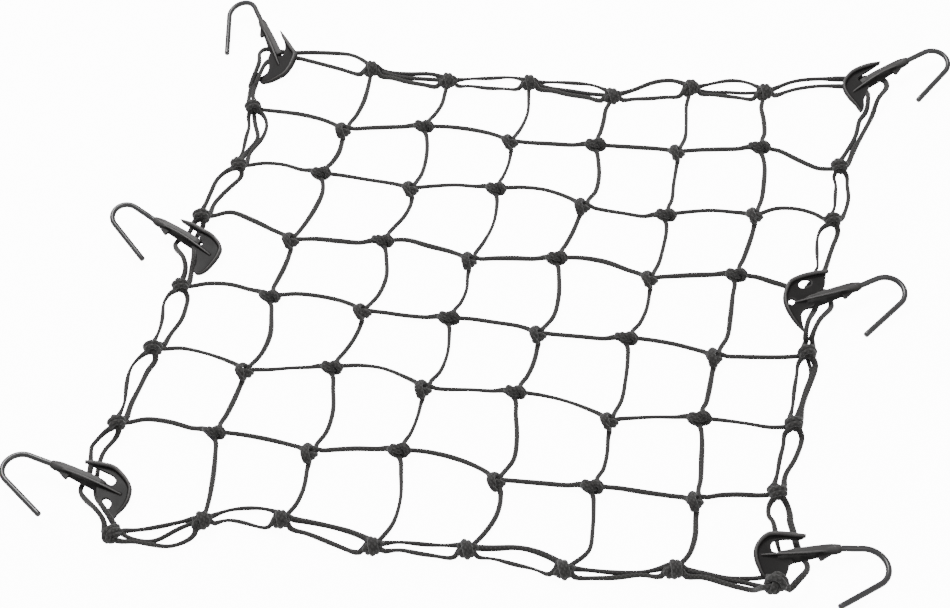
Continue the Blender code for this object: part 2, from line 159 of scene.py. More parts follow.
@dataclass
class TightKnot:
    """An overhand knot drawn tight in one thick line, then parted into two cords side by side.

    The line starts as a loose overhand whose ends leave along +x and -x. It is pulled at both
    ends, kept to its length and kept out of itself. The spread is half the distance between the
    two cords' middles, and the ball is the reach of what counts as inside the knot.
    """

    radius: float
    spread: float
    scale: float = 1.0
    ball: float = 4.1
    rounds: int = 60
    opening: float = 0.62
    loop: float = 3.2
    lift: float = 4.0
    tail: float = 26.0
    pull: float = 0.5
    reach: float = 15.0
    ease: float = 0.12
    push: float = 1.3
    closeness: float = 0.97
    line: Points = None

    def tie(self) -> None:
        """Draw the thick line tight about the origin."""
        t = np.linspace(math.pi + self.opening, 3 * math.pi - self.opening, 11)
        core = np.stack([(np.sin(t) + 2 * np.sin(2 * t)) * self.loop,
                         (np.cos(t) - 2 * np.cos(2 * t)) * self.loop, -np.sin(3 * t) * self.lift], axis=1)
        low = -3 * self.loop - 2
        ends = np.array([[self.tail, low, 0], [14, low, 0], [-14, low, 0], [-self.tail, low, 0]])
        step = self.radius * 0.8
        line = resample(smooth_line(np.vstack([ends[:2], core, ends[2:]]), 8), step)
        for _ in range(self.rounds):
            line = self._draw(line, step)
        middle = line.mean(axis=0)
        for _ in range(6):
            middle = line[np.linalg.norm(line - middle, axis=1) < 4.5 * self.radius].mean(axis=0)
        self.line = (line - middle) * self.scale

    def _draw(self, line: Points, step: float) -> Points:
        """Trim the far ends and pull a little more.

        Args:
            line: The line's points.
            step: Distance kept between them.

        Returns:
            The line's new points.
        """
        inside = np.flatnonzero(np.linalg.norm(line - line.mean(axis=0), axis=1) < self.reach)
        line = line[max(inside[0] - 1, 0):inside[-1] + 2].copy()
        count = len(line)
        one, two = np.triu_indices(count, 1)
        apart = two - one > math.ceil(2 * self.radius / step * 1.3)
        apart &= np.linalg.norm(line[one] - line[two], axis=1) < 2 * self.radius + 6
        one, two = one[apart], two[apart]
        halves = (np.arange(0, count - 1, 2), np.arange(1, count - 1, 2))
        limit = 2 * self.radius * self.closeness
        for _ in range(12):
            line[0, 0] += self.pull
            line[-1, 0] -= self.pull
            line[1:-1] += self.ease * (0.5 * (line[:-2] + line[2:]) - line[1:-1])
            for _ in range(4):
                for half in halves + halves[::-1]:
                    gap = line[half + 1] - line[half]
                    size = np.linalg.norm(gap, axis=1)
                    move = (0.5 * (size - step) / size)[:, None] * gap
                    line[half] += move
                    line[half + 1] -= move
                gap = line[two] - line[one]
                size = np.linalg.norm(gap, axis=1)
                hit = size < limit
                if hit.any():
                    size = np.maximum(size[hit], 1e-6)
                    move = (0.5 * (limit - size) / size)[:, None] * gap[hit]
                    total, times = np.zeros_like(line), np.zeros(count)
                    np.add.at(total, one[hit], -move)
                    np.add.at(total, two[hit], move)
                    np.add.at(times, one[hit], 1)
                    np.add.at(times, two[hit], 1)
                    line += total / np.maximum(times, 1)[:, None] * self.push
        return line

    def parted(self, pose: KnotPose, roll: float = 0.0) -> list[Points]:
        """Part the tight line into its two cords, lying flat against the knot's ball.

        Args:
            pose: How the knot lies.
            roll: Extra degrees to roll it by.

        Returns:
            Both cords inside the ball, running towards +x.
        """
        angle = math.radians(pose.roll + roll)
        line = self.line * np.array([pose.mirror, 1, 1])
        line = line @ np.array([[1, 0, 0], [0, math.cos(angle), -math.sin(angle)],
                                [0, math.sin(angle), math.cos(angle)]]).T
        if line[0][0] > 0:
            line = line[::-1]
        along = np.gradient(line, axis=0)
        along /= np.linalg.norm(along, axis=1)[:, None]
        one = np.zeros_like(line)
        frame = np.array([0, 1.0, 0])
        for n, way in enumerate(along):
            frame = frame - way * (frame @ way)
            frame /= np.linalg.norm(frame)
            one[n] = frame
        two = np.cross(along, one)
        outward = np.cross(along, line - along * np.sum(line * along, axis=1)[:, None])
        level = np.cross(np.array([0, 0, 1.0]), along)
        wide = np.where((np.linalg.norm(line, axis=1) > 5.0)[:, None], level, outward)
        swing = np.arctan2(np.sum(wide * two, axis=1), np.sum(wide * one, axis=1))
        for n in range(1, len(swing)):
            swing[n] = swing[n - 1] + (swing[n] - swing[n - 1] + math.pi / 2) % math.pi - math.pi / 2
        for _ in range(9):
            swing[1:-1] = 0.25 * swing[:-2] + 0.5 * swing[1:-1] + 0.25 * swing[2:]
        across = (np.cos(swing)[:, None] * one + np.sin(swing)[:, None] * two) * self.spread
        inside = np.flatnonzero(np.linalg.norm(line, axis=1) < self.ball)
        keep = slice(inside[0], inside[-1] + 1)
        return [(line + across)[keep], (line - across)[keep]]


def on_floor(cords: list[Points], radius: float, height: float = 0.0) -> list[Points]:
    """Set cords down so that the lowest one just rests at a height.

    Args:
        cords: The cords' points.
        radius: The cords' radius.
        height: Height of what they rest on.

    Returns:
        The cords, moved up or down.
    """
    low = min(cord[:, 2].min() for cord in cords)
    return [cord + np.array([0, 0, height + radius - low]) for cord in cords]


def exit_point(middle: Points, towards: Points, reach: float, height: float, aside: float = 0.0) -> Points:
    """Point where a cord leaves a knot.

    Args:
        middle: The knot's middle.
        towards: A point the cord runs to.
        reach: Distance from the knot's middle.
        height: Height of the cord there.
        aside: Sideways distance, positive to the left of the direction of the cord.

    Returns:
        One point, as a row of its own.
    """
    way = (towards - middle)[:2]
    way = way / np.linalg.norm(way)
    place = middle[:2] + way * reach + np.array([-way[1], way[0]]) * aside
    return np.array([[place[0], place[1], height]])


# ---------------------------------------------------------------- shared shader effects
class Effects:
    """Node groups that more than one finish uses. Each is built once."""

    @staticmethod
    def _open(name: str, inputs: tuple[tuple[str, str, float], ...],
              outputs: tuple[tuple[str, str], ...]) -> bpy.types.NodeTree:
        """Start a group with its sockets.

        Args:
            name: Name of the group.
            inputs: Name, kind and default of each input.
            outputs: Name and kind of each output.

        Returns:
            The new group.
        """
        group = bpy.data.node_groups.new(name, "ShaderNodeTree")
        for title, kind, default in inputs:
            socket = group.interface.new_socket(title, in_out="INPUT", socket_type=kind)
            if kind == "NodeSocketFloat":
                socket.default_value = default
        for title, kind in outputs:
            group.interface.new_socket(title, in_out="OUTPUT", socket_type=kind)
        return group

    @classmethod
    def speckle(cls) -> bpy.types.NodeTree:
        """Fine moulding grain and broad cloudiness on Object coordinates.

        Returns:
            The group, with outputs Cloud and Grain.
        """
        found = bpy.data.node_groups.get("speckle")
        if found:
            return found
        group = cls._open("speckle", (("Vector", "NodeSocketVector", 0.0),
                                      ("Grain Scale", "NodeSocketFloat", 2500.0),
                                      ("Cloud Scale", "NodeSocketFloat", 40.0)),
                          (("Cloud", "NodeSocketFloat"), ("Grain", "NodeSocketFloat")))
        nodes, links = group.nodes, group.links
        entry, leave = nodes.new("NodeGroupInput"), nodes.new("NodeGroupOutput")
        for scale, detail, result in (("Grain Scale", 3.0, "Grain"), ("Cloud Scale", 2.0, "Cloud")):
            noise = nodes.new("ShaderNodeTexNoise")
            noise.inputs["Detail"].default_value = detail
            links.new(entry.outputs["Vector"], noise.inputs["Vector"])
            links.new(entry.outputs[scale], noise.inputs["Scale"])
            links.new(noise.outputs["Fac"], leave.inputs[result])
        return group

    @classmethod
    def braid(cls) -> bpy.types.NodeTree:
        """Diamond plait of a braided sleeve: u runs round the cord, v along it in metres.

        Returns:
            The group, with outputs Height and a tone of painted shade, dark in the creases between the
            plaits and light on their crowns.
        """
        found = bpy.data.node_groups.get("braid")
        if found:
            return found
        group = cls._open("braid", (("UV", "NodeSocketVector", 0.0),
                                    ("Plaits", "NodeSocketFloat", 4.0),
                                    ("Pitch", "NodeSocketFloat", 0.0036)),
                          (("Height", "NodeSocketFloat"), ("Crease Shade Tone", "NodeSocketFloat")))
        nodes, links = group.nodes, group.links
        entry, leave = nodes.new("NodeGroupInput"), nodes.new("NodeGroupOutput")

        def math_node(kind: str, *values: bpy.types.NodeSocket | float) -> bpy.types.NodeSocket:
            """Add a Math node.

            Args:
                kind: Its operation.
                values: Its inputs in order, each a result of another node or a plain number.

            Returns:
                Its result.
            """
            node = nodes.new("ShaderNodeMath")
            node.operation = kind
            for socket, value in zip(node.inputs, values):
                if isinstance(value, (int, float)):
                    socket.default_value = value
                else:
                    links.new(value, socket)
            return node.outputs[0]

        split = nodes.new("ShaderNodeSeparateXYZ")
        links.new(entry.outputs["UV"], split.inputs[0])
        round_it = math_node("MULTIPLY", split.outputs[0], entry.outputs["Plaits"])
        along = math_node("DIVIDE", split.outputs[1], entry.outputs["Pitch"])
        waves = []
        for kind in ("ADD", "SUBTRACT"):
            turns = math_node("MULTIPLY", math_node(kind, along, round_it), 2 * math.pi)
            waves.append(math_node("MULTIPLY_ADD", math_node("SINE", turns), 0.5, 0.5))
        height = math_node("POWER", math_node("MAXIMUM", waves[0], waves[1]), 0.7)
        # Painted shade: the tone is darker in the creases between the plaits and lighter on their crowns.
        tone_with_crease_shade = math_node("MULTIPLY", waves[0], waves[1])
        links.new(height, leave.inputs["Height"])
        links.new(tone_with_crease_shade, leave.inputs["Crease Shade Tone"])
        return group


# ---------------------------------------------------------------- finishes
class Recipe:
    """A new material's nodes, with the steps that the finishes share."""

    def __init__(self, name: str) -> None:
        """Start a material round its Principled shader.

        Args:
            name: Name of the material.
        """
        self.made = bpy.data.materials.new(name)
        self.made.use_nodes = True
        self.nodes, self.links = self.made.node_tree.nodes, self.made.node_tree.links
        self.shader = self.nodes["Principled BSDF"]

    def group(self, tree: bpy.types.NodeTree, source: bpy.types.NodeSocket,
              values: dict[str, float]) -> bpy.types.Node:
        """Place a shared effect.

        Args:
            tree: The effect's group.
            source: Coordinates for its first input.
            values: Plain values of its other inputs.

        Returns:
            The group's node.
        """
        node = self.nodes.new("ShaderNodeGroup")
        node.node_tree = tree
        self.links.new(source, node.inputs[0])
        for title, value in values.items():
            node.inputs[title].default_value = value
        return node

    def speckle(self, grain: float, cloud: float) -> bpy.types.Node:
        """Place the speckle on Object coordinates.

        Args:
            grain: Scale of the fine grain.
            cloud: Scale of the broad cloudiness.

        Returns:
            The group's node.
        """
        place = self.nodes.new("ShaderNodeTexCoord")
        return self.group(Effects.speckle(), place.outputs["Object"],
                          {"Grain Scale": grain, "Cloud Scale": cloud})

    def ramp(self, source: bpy.types.NodeSocket, dark: Colour, light: Colour,
             start: float = 0.0) -> bpy.types.NodeSocket:
        """Turn a value into a colour.

        Args:
            source: The value.
            dark: Colour up to the start.
            light: Colour at 1.
            start: Value at which the colour begins to turn.

        Returns:
            The colour.
        """
        node = self.nodes.new("ShaderNodeValToRGB")
        low, high = node.color_ramp.elements
        low.color, low.position = (*dark, 1), start
        high.color = (*light, 1)
        self.links.new(source, node.inputs[0])
        return node.outputs[0]

    def mix(self, kind: str, one: bpy.types.NodeSocket | Colour, two: bpy.types.NodeSocket | Colour,
            share: bpy.types.NodeSocket | float) -> bpy.types.NodeSocket:
        """Blend two colours.

        Args:
            kind: Blend type.
            one: First colour, a result or a plain one.
            two: Second colour, a result or a plain one.
            share: How much of the second, a result or a plain number.

        Returns:
            The blended colour.
        """
        node = self.nodes.new("ShaderNodeMix")
        node.data_type = "RGBA"
        node.blend_type = kind
        for title, value in (("A", one), ("B", two), ("Factor", share)):
            if isinstance(value, bpy.types.NodeSocket):
                self.links.new(value, node.inputs[title])
            else:
                node.inputs[title].default_value = (*value, 1) if isinstance(value, tuple) else value
        return node.outputs["Result"]

    def ranged(self, title: str, source: bpy.types.NodeSocket, low: float, high: float) -> None:
        """Drive one of the shader's values.

        Args:
            title: The shader's input.
            source: A value from 0 to 1.
            low: What the input gets at 0.
            high: What it gets at 1.
        """
        node = self.nodes.new("ShaderNodeMapRange")
        node.inputs["To Min"].default_value = low
        node.inputs["To Max"].default_value = high
        self.links.new(source, node.inputs["Value"])
        self.links.new(node.outputs[0], self.shader.inputs[title])

    def finished(self, colour: bpy.types.NodeSocket, height: bpy.types.NodeSocket, relief: float,
                 strength: float, values: dict[str, float]) -> bpy.types.Material:
        """Give the shader its colour, relief and plain values.

        Args:
            colour: The base colour.
            height: Height of the relief, from 0 to 1.
            relief: Depth of the relief in metres.
            strength: Strength of the relief.
            values: The shader's plain values.

        Returns:
            The finished material.
        """
        self.links.new(colour, self.shader.inputs["Base Color"])
        bump = self.nodes.new("ShaderNodeBump")
        bump.inputs["Distance"].default_value = relief
        bump.inputs["Strength"].default_value = strength
        self.links.new(height, bump.inputs["Height"])
        self.links.new(bump.outputs[0], self.shader.inputs["Normal"])
        for title, value in values.items():
            self.shader.inputs[title].default_value = value
        return self.made


class Finish:
    """Finish of a kind of piece. Its material is built once."""

    name: str

    def material(self) -> bpy.types.Material:
        """Give the finish's material."""
        return bpy.data.materials.get(self.name) or self.recipe(Recipe(self.name))

    def recipe(self, mix: Recipe) -> bpy.types.Material:
        """Build the material, which each finish does in its own way.

        Args:
            mix: The new material's nodes.

        Returns:
            The material.
        """
        raise NotImplementedError


@dataclass(frozen=True)
class CordFinish(Finish):
    """Matt braided sleeve of an elastic cord, read from the piece's own UV map, with painted shade in the
    creases between the plaits.
    """

    name: str = "braided_elastic"
    # dark serves the painted shade in the braid's creases and the darker grain; light serves the crowns
    # and the paler grain.
    dark: Colour = (0.020, 0.0192, 0.0186)
    light: Colour = (0.062, 0.060, 0.058)
    pitch: float = 0.0024
    relief: float = 0.00016
    roughness: float = 0.72
    grain: float = 0.55
    clouds: float = 0.35

    def recipe(self, mix: Recipe) -> bpy.types.Material:
        """Build the cord's material.

        Args:
            mix: The new material's nodes.

        Returns:
            The material.
        """
        around = mix.nodes.new("ShaderNodeUVMap")
        around.uv_map = "UVMap"
        braid = mix.group(Effects.braid(), around.outputs[0], {"Pitch": self.pitch})
        speckle = mix.speckle(3800.0, 55.0)
        # The tone mixes real grain with painted shade in the braid's creases.
        tone_with_crease_shade = mix.nodes.new("ShaderNodeMath")
        tone_with_crease_shade.operation = "MULTIPLY_ADD"
        mix.links.new(speckle.outputs["Grain"], tone_with_crease_shade.inputs[0])
        tone_with_crease_shade.inputs[1].default_value = self.grain
        mix.links.new(braid.outputs["Crease Shade Tone"], tone_with_crease_shade.inputs[2])
        # Colour of the yarn, including the painted shade in the braid's creases.
        yarn_with_crease_shade = mix.ramp(tone_with_crease_shade.outputs[0], self.dark, self.light, 0.15)
        colour = mix.mix("MULTIPLY", yarn_with_crease_shade, speckle.outputs["Cloud"], self.clouds)
        return mix.finished(colour, braid.outputs["Height"], self.relief, 0.8,
                            {"Roughness": self.roughness, "Specular IOR Level": 0.2,
                             "Sheen Weight": 0.25, "Sheen Roughness": 0.5})


@dataclass(frozen=True)
class MouldedFinish(Finish):
    """Satin moulded plastic, paler and glossier along its worn edges, and paler on its up-facing tops as a
    painted highlight, both read from a stored attribute.
    """

    name: str = "moulded_claw"
    face: Colour = (0.016, 0.0150, 0.0150)
    # edge is the colour of the worn edges and also of the painted highlight on up-facing tops.
    edge: Colour = (0.135, 0.130, 0.128)
    roughness: float = 0.46
    clouds: float = 0.3

    def recipe(self, mix: Recipe) -> bpy.types.Material:
        """Build the plastic.

        Args:
            mix: The new material's nodes.

        Returns:
            The material.
        """
        wear_and_top_light = mix.nodes.new("ShaderNodeAttribute")
        wear_and_top_light.attribute_name = "edge_wear_and_top_light"
        mix.ranged("Specular IOR Level", wear_and_top_light.outputs["Fac"], 0.12, 0.45)
        speckle = mix.speckle(2200.0, 120.0)
        mix.ranged("Roughness", speckle.outputs["Cloud"], self.roughness - 0.08, self.roughness + 0.12)
        # Blend towards the pale colour on worn edges and, as a painted highlight, on up-facing tops.
        worn_and_top_lit = mix.mix("MIX", self.face, self.edge, wear_and_top_light.outputs["Fac"])
        colour = mix.mix("MULTIPLY", worn_and_top_lit, speckle.outputs["Cloud"], self.clouds)
        return mix.finished(colour, speckle.outputs["Grain"], 0.00005, 0.5, {})


@dataclass(frozen=True)
class CoatFinish(Finish):
    """Smooth dipped coat on the hook wire, slightly uneven and glossy."""

    name: str = "dipped_coat"
    dark: Colour = (0.0240, 0.0236, 0.0244)
    light: Colour = (0.0405, 0.039825, 0.041175)
    roughness: float = 0.27

    def recipe(self, mix: Recipe) -> bpy.types.Material:
        """Build the coat.

        Args:
            mix: The new material's nodes.

        Returns:
            The material.
        """
        speckle = mix.speckle(420.0, 90.0)
        mix.ranged("Roughness", speckle.outputs["Cloud"], self.roughness - 0.06, self.roughness + 0.1)
        colour = mix.ramp(speckle.outputs["Cloud"], self.dark, self.light)
        return mix.finished(colour, speckle.outputs["Grain"], 0.00008, 0.35,
                            {"Coat Weight": 0.25, "Coat Roughness": 0.3})


# ---------------------------------------------------------------- meshes
def plain_piece(name: str, mesh: bpy.types.Mesh, material: bpy.types.Material) -> bpy.types.Object:
    """Link a finished mesh as a piece that rides on the part.

    Args:
        name: Name of the piece.
        mesh: Its mesh, in metres, already in place.
        material: Its finish.

    Returns:
        The new object.
    """
    mesh.materials.clear()
    mesh.materials.append(material)
    piece = bpy.data.objects.new(name, mesh)
    bpy.context.scene.collection.objects.link(piece)
    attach(piece, "root")
    LOG.info("%s: %d faces", name, len(mesh.polygons))
    return piece


# Cut end of a cord: distance past it and thickness there, as shares of the cord's radius.
CUT_END = ((0.52, 0.01), (0.5, 0.6), (0.34, 0.9))


@dataclass
class Strand:
    """One length of cord: its points, and how thick it is at each, as a share of its radius."""

    points: Points
    thick: Points = None
    closed: bool = False

    def ended(self, radius: float) -> Strand:
        """Round off both cut ends.

        Args:
            radius: The cord's radius.

        Returns:
            The strand with its ends closed, or itself if it runs round.
        """
        thick = np.ones(len(self.points)) if self.thick is None else self.thick
        if self.closed:
            return Strand(self.points, thick, True)
        points = self.points
        for back in (False, True):
            if back:
                points, thick = points[::-1], thick[::-1]
            out = points[0] - points[1]
            out /= np.linalg.norm(out)
            points = np.vstack([[points[0] + out * radius * past for past, _ in CUT_END], points])
            thick = np.concatenate([[share for _, share in CUT_END], thick])
        return Strand(points[::-1], thick[::-1])


def swollen(line: Points, places: list[tuple[Points, float, float]]) -> Points:
    """Thickness along a cord that swells or thins near some places.

    Args:
        line: The cord's points.
        places: A middle, a gain and a length for each swelling.

    Returns:
        A share of the cord's radius for each point.
    """
    thick = np.ones(len(line))
    for middle, gain, length in places:
        away = np.linalg.norm(line[:, :2] - np.asarray(middle)[:2], axis=1)
        thick += gain * np.exp(-(away / length) ** 2)
    return thick


@dataclass
class CordMaker:
    """Makes round cords of one radius from strands, through a node tree."""

    radius: float
    sides: int = 10
    finish: CordFinish = field(default_factory=CordFinish)

    def tree(self) -> bpy.types.NodeTree:
        """Build the node tree that sweeps a round section along each strand.

        Returns:
            The tree, with inputs Radius, Sides and Finish.
        """
        tree = bpy.data.node_groups.new("round_cord", "GeometryNodeTree")
        face = tree.interface
        face.new_socket("Geometry", in_out="INPUT", socket_type="NodeSocketGeometry")
        face.new_socket("Radius", in_out="INPUT", socket_type="NodeSocketFloat")
        face.new_socket("Sides", in_out="INPUT", socket_type="NodeSocketInt")
        face.new_socket("Finish", in_out="INPUT", socket_type="NodeSocketMaterial")
        face.new_socket("Geometry", in_out="OUTPUT", socket_type="NodeSocketGeometry")
        nodes, links = tree.nodes, tree.links
        entry, leave = nodes.new("NodeGroupInput"), nodes.new("NodeGroupOutput")
        line = nodes.new("GeometryNodeMeshToCurve")
        arc = nodes.new("GeometryNodeCurveArc")
        arc.inputs["Sweep Angle"].default_value = 2 * math.pi
        thick = nodes.new("GeometryNodeInputNamedAttribute")
        thick.data_type = "FLOAT"
        thick.inputs["Name"].default_value = "thick"
        caught = []
        for source, result in ((line.outputs["Curve"], "Length"), (arc.outputs["Curve"], "Factor")):
            catch = nodes.new("GeometryNodeCaptureAttribute")
            catch.capture_items.new("FLOAT", "value")
            measure = nodes.new("GeometryNodeSplineParameter")
            links.new(source, catch.inputs["Geometry"])
            links.new(measure.outputs[result], catch.inputs[1])
            caught.append(catch)
        sweep = nodes.new("GeometryNodeCurveToMesh")
        links.new(entry.outputs["Geometry"], line.inputs["Mesh"])
        links.new(entry.outputs["Sides"], arc.inputs["Resolution"])
        links.new(entry.outputs["Radius"], arc.inputs["Radius"])
        links.new(caught[0].outputs["Geometry"], sweep.inputs["Curve"])
        links.new(caught[1].outputs["Geometry"], sweep.inputs["Profile Curve"])
        links.new(thick.outputs["Attribute"], sweep.inputs["Scale"])
        pair = nodes.new("ShaderNodeCombineXYZ")
        links.new(caught[1].outputs[1], pair.inputs[0])
        links.new(caught[0].outputs[1], pair.inputs[1])
        store = nodes.new("GeometryNodeStoreNamedAttribute")
        store.data_type = "FLOAT2"
        store.domain = "CORNER"
        store.inputs["Name"].default_value = "UVMap"
        links.new(sweep.outputs["Mesh"], store.inputs["Geometry"])
        links.new(pair.outputs[0], store.inputs["Value"])
        weld = nodes.new("GeometryNodeMergeByDistance")
        weld.inputs["Distance"].default_value = 0.00004
        round_off = nodes.new("GeometryNodeSetShadeSmooth")
        whole = nodes.new("GeometryNodeRealizeInstances")
        dress = nodes.new("GeometryNodeSetMaterial")
        chain = [store.outputs["Geometry"]]
        for node in (weld, round_off, whole, dress):
            links.new(chain[-1], node.inputs["Geometry"])
            chain.append(node.outputs["Geometry"])
        links.new(entry.outputs["Finish"], dress.inputs["Material"])
        links.new(chain[-1], leave.inputs["Geometry"])
        return tree

    def mesh(self, name: str, strands: list[Strand]) -> bpy.types.Mesh:
        """Sweep every strand into one mesh.

        Args:
            name: Name of the mesh.
            strands: The strands, in plan millimetres.

        Returns:
            A closed plain mesh in metres, with a UV map round and along each cord.
        """
        ended = [strand.ended(self.radius) for strand in strands]
        points = np.vstack([s.points for s in ended])
        edges, start = [], 0
        for strand in ended:
            count = len(strand.points)
            edges += [(start + n, start + n + 1) for n in range(count - 1)]
            if strand.closed:
                edges.append((start + count - 1, start))
            start += count
        lines = bpy.data.meshes.new(name + "_lines")
        lines.from_pydata(((points + PLAN_SHIFT) * MM).tolist(), edges, [])
        thick = lines.attributes.new("thick", "FLOAT", "POINT")
        thick.data.foreach_set("value", np.concatenate([s.thick for s in ended]))
        holder = bpy.data.objects.new(name + "_lines", lines)
        bpy.context.scene.collection.objects.link(holder)
        modifier = holder.modifiers.new("cord", "NODES")
        modifier.node_group = bpy.data.node_groups.get("round_cord") or self.tree()
        values = {"Radius": self.radius * MM, "Sides": self.sides + 1,
                  "Finish": self.finish.material()}
        for item in modifier.node_group.interface.items_tree:
            if item.in_out == "INPUT" and item.name in values:
                modifier[item.identifier] = values[item.name]
        bpy.context.view_layer.update()
        graph = bpy.context.evaluated_depsgraph_get()
        made = bpy.data.meshes.new_from_object(holder.evaluated_get(graph))
        made.name = name
        bpy.data.objects.remove(holder, do_unlink=True)
        body = bmesh.new()
        body.from_mesh(made)
        bmesh.ops.recalc_face_normals(body, faces=body.faces)
        body.to_mesh(made)
        body.free()
        return made


# ---------------------------------------------------------------- hooks' places
@dataclass(frozen=True)
class HookPlace:
    """Where a hook with its claw lies: the fin's tip, heading, rise, dip and the side it opens to."""

    name: str
    x: float
    y: float
    z: float
    heading: float
    rise: float
    dip: float
    side: int

    def matrix(self) -> Matrix:
        """Give the hook's place.

        Returns:
            The matrix from the hook's own frame to plan millimetres.
        """
        turn = Matrix.Rotation(math.radians(self.heading), 4, "Z")
        rise = Matrix.Rotation(math.radians(-self.rise), 4, "Y")
        dip = Matrix.Rotation(math.radians(-self.side * self.dip), 4, "X")
        return Matrix.Translation(Vector((self.x, self.y, self.z))) @ turn @ rise @ dip

    def placed(self, points: Points) -> Points:
        """Bring points from the hook's own frame, open side +y, into the plan.

        Args:
            points: Points in the hook's own frame.

        Returns:
            The same points in plan millimetres.
        """
        matrix = np.array(self.matrix())
        local = np.asarray(points, float) * np.array([1, self.side, 1])
        return local @ matrix[:3, :3].T + matrix[:3, 3]


HOOKS = {hook.name: hook for hook in (
    HookPlace("far_left", -191, 180, 5.6, 126, 6, 12, 1),
    HookPlace("mid_left", -185, 6, 5.2, 160, 8, 6, 1),
    HookPlace("near_left", -178, -184, 5.2, 168, 7, 5, 1),
    HookPlace("far_right", 180, 200, 5.6, 40, 5, 7, -1),
    HookPlace("mid_right", 172, 2.9, 11.8, 34, -4, 11, -1),
    HookPlace("near_right", 181, -178.6, 9.8, 22, -5, 11, -1),
)}


# ---------------------------------------------------------------- net
ROW_PLACE = (
    (189, 185, 180, 185, 179, 192, 194, 196), (139, 126, 136, 129, 133, 133, 144, 132),
    (85, 85, 79, 86, 78, 77, 84, 85), (37, 25, 32, 23, 32, 23, 33, 32),
    (-23, -23, -27, -25, -30, -26, -33, -23), (-74, -83, -73, -81, -76, -89, -80, -77),
    (-133, -131, -137, -128, -141, -137, -138, -126), (-210, -194, -186, -196, -190, -195, -186, -198),
)
COLUMN_PLACE = (
    (-197, -198, -191, -200, -194, -194, -196, -172), (-131, -133, -137, -138, -138, -134, -138, -125),
    (-78, -83, -76, -82, -78, -85, -79, -82), (-25, -24, -24, -25, -27, -27, -30, -27),
    (31, 29, 33, 26, 29, 25, 30, 24), (79, 82, 84, 85, 80, 83, 82, 78),
    (126, 131, 138, 134, 133, 131, 140, 136), (192, 182, 184, 182, 184, 184, 182, 193),
)
# Belly of each span at a quarter, half and three quarters of its length.
ROW_BOW = (
    ((2.9, 5.2, 5.0), (1.8, 1.7, 1.5), (4.1, 5.3, 4.7), (0.5, 0.2, -0.1), (1.3, 1.8, 2.2),
     (1.7, 1.1, 0.5), (1.9, -1.8, -4.5)),
    ((4.7, 5.3, 2.2), (1.9, 1.9, 2.2), (3.1, 4.0, 2.7), (5.8, 7.9, 6.1), (-0.9, -1.8, -2.5),
     (3.5, 4.8, 3.3), (7.9, 8.9, 5.9)),
    ((9.9, 8.2, 4.5), (1.7, 0.1, -1.2), (5.4, 4.5, 3.9), (1.8, 1.4, 0.5), (5.0, 5.9, 3.3),
     (1.7, 1.8, 1.6), (0.7, -2.4, -5.2)),
    ((5.2, 6.6, 4.1), (5.6, 6.7, 5.5), (0.6, -0.4, -0.4), (2.7, 3.2, 3.6), (0.4, -0.2, -0.8),
     (2.7, 3.4, 2.7), (-0.2, -1.2, -1.8)),
    ((5.2, 5.9, 4.4), (0.6, 1.2, 1.2), (6.1, 8.0, 5.5), (0.3, 0.7, 0.4), (3.5, 4.6, 3.6),
     (1.8, 2.1, 1.6), (0.1, -1.0, -2.6)),
    ((5.2, 4.8, 1.8), (2.5, 3.0, 2.5), (1.9, 2.3, 1.6), (4.8, 6.3, 5.3), (0.7, 0.3, 0.0),
     (1.5, 1.1, 1.0), (2.4, 1.7, -0.3)),
)
COLUMN_BOW = (
    ((2.1, 3.6, 2.8), (1.9, 3.6, 2.5), (5.4, 5.3, 3.0), (1.2, 1.2, 0.1), (4.2, 7.0, 5.4),
     (0.4, 1.0, 0.9), (1.7, 2.2, 1.7)),
    ((1.8, 3.5, 2.2), (3.9, 5.1, 4.1), (3.8, 4.2, 1.3), (4.7, 7.5, 5.7), (2.3, 2.9, 1.6),
     (3.6, 6.6, 5.7), (1.8, 4.3, 4.3)),
    ((2.6, 4.7, 3.3), (1.9, 2.6, 1.6), (4.3, 5.7, 3.6), (1.5, 4.1, 3.4), (3.9, 6.2, 5.3),
     (1.2, 2.4, 2.1), (4.7, 8.0, 7.4)),
    ((-1.3, -0.1, 0.4), (3.9, 6.1, 5.6), (0.7, 1.4, 1.0), (4.0, 6.3, 5.9), (2.1, 3.4, 2.7),
     (2.7, 5.8, 6.3), (5.7, 7.4, 5.3)),
    ((-0.4, 1.3, 2.5), (0.6, 1.0, 1.9), (2.7, 3.0, 2.5), (2.6, 4.4, 3.7), (2.8, 3.8, 3.7),
     (1.1, 3.1, 3.3), (4.8, 8.2, 10.0)),
    ((-0.8, 1.5, 2.4), (3.7, 3.9, 3.0), (1.3, 1.5, 1.1), (1.1, 2.7, 3.7), (0.5, 1.4, 1.8),
     (2.3, 2.2, 1.9), (2.6, 5.3, 5.3)),
)


def knot_at(row: int, column: int) -> Points:
    """Give a knot's middle in plan, at floor height."""
    return np.array([COLUMN_PLACE[column][row], ROW_PLACE[row][column], 0.0])


KNOT_NUDGE = np.array([0.45, -1.4, 0.0])  # from where a cord's middle was measured to the ball's middle
BORDER_DROP = (0, -0.8, 0)
NEAR_LEFT, NEAR_RIGHT, BY_MID_RIGHT = (7, 0), (7, 7), (3, 7)
BORDER_NUDGE = {NEAR_RIGHT: (-1.8, 5.0, 0.0), BY_MID_RIGHT: (-1.5, -6.0, 0.0)}
UNKNOTTED = ((0, 0), (0, 7))  # the far corners, where the border only runs round under the hooks


def tied_at(row: int, column: int) -> Points:
    """Give the middle of a border knot's ball in plan, at floor height."""
    return knot_at(row, column) + KNOT_NUDGE + BORDER_DROP + BORDER_NUDGE.get((row, column), (0, 0, 0))


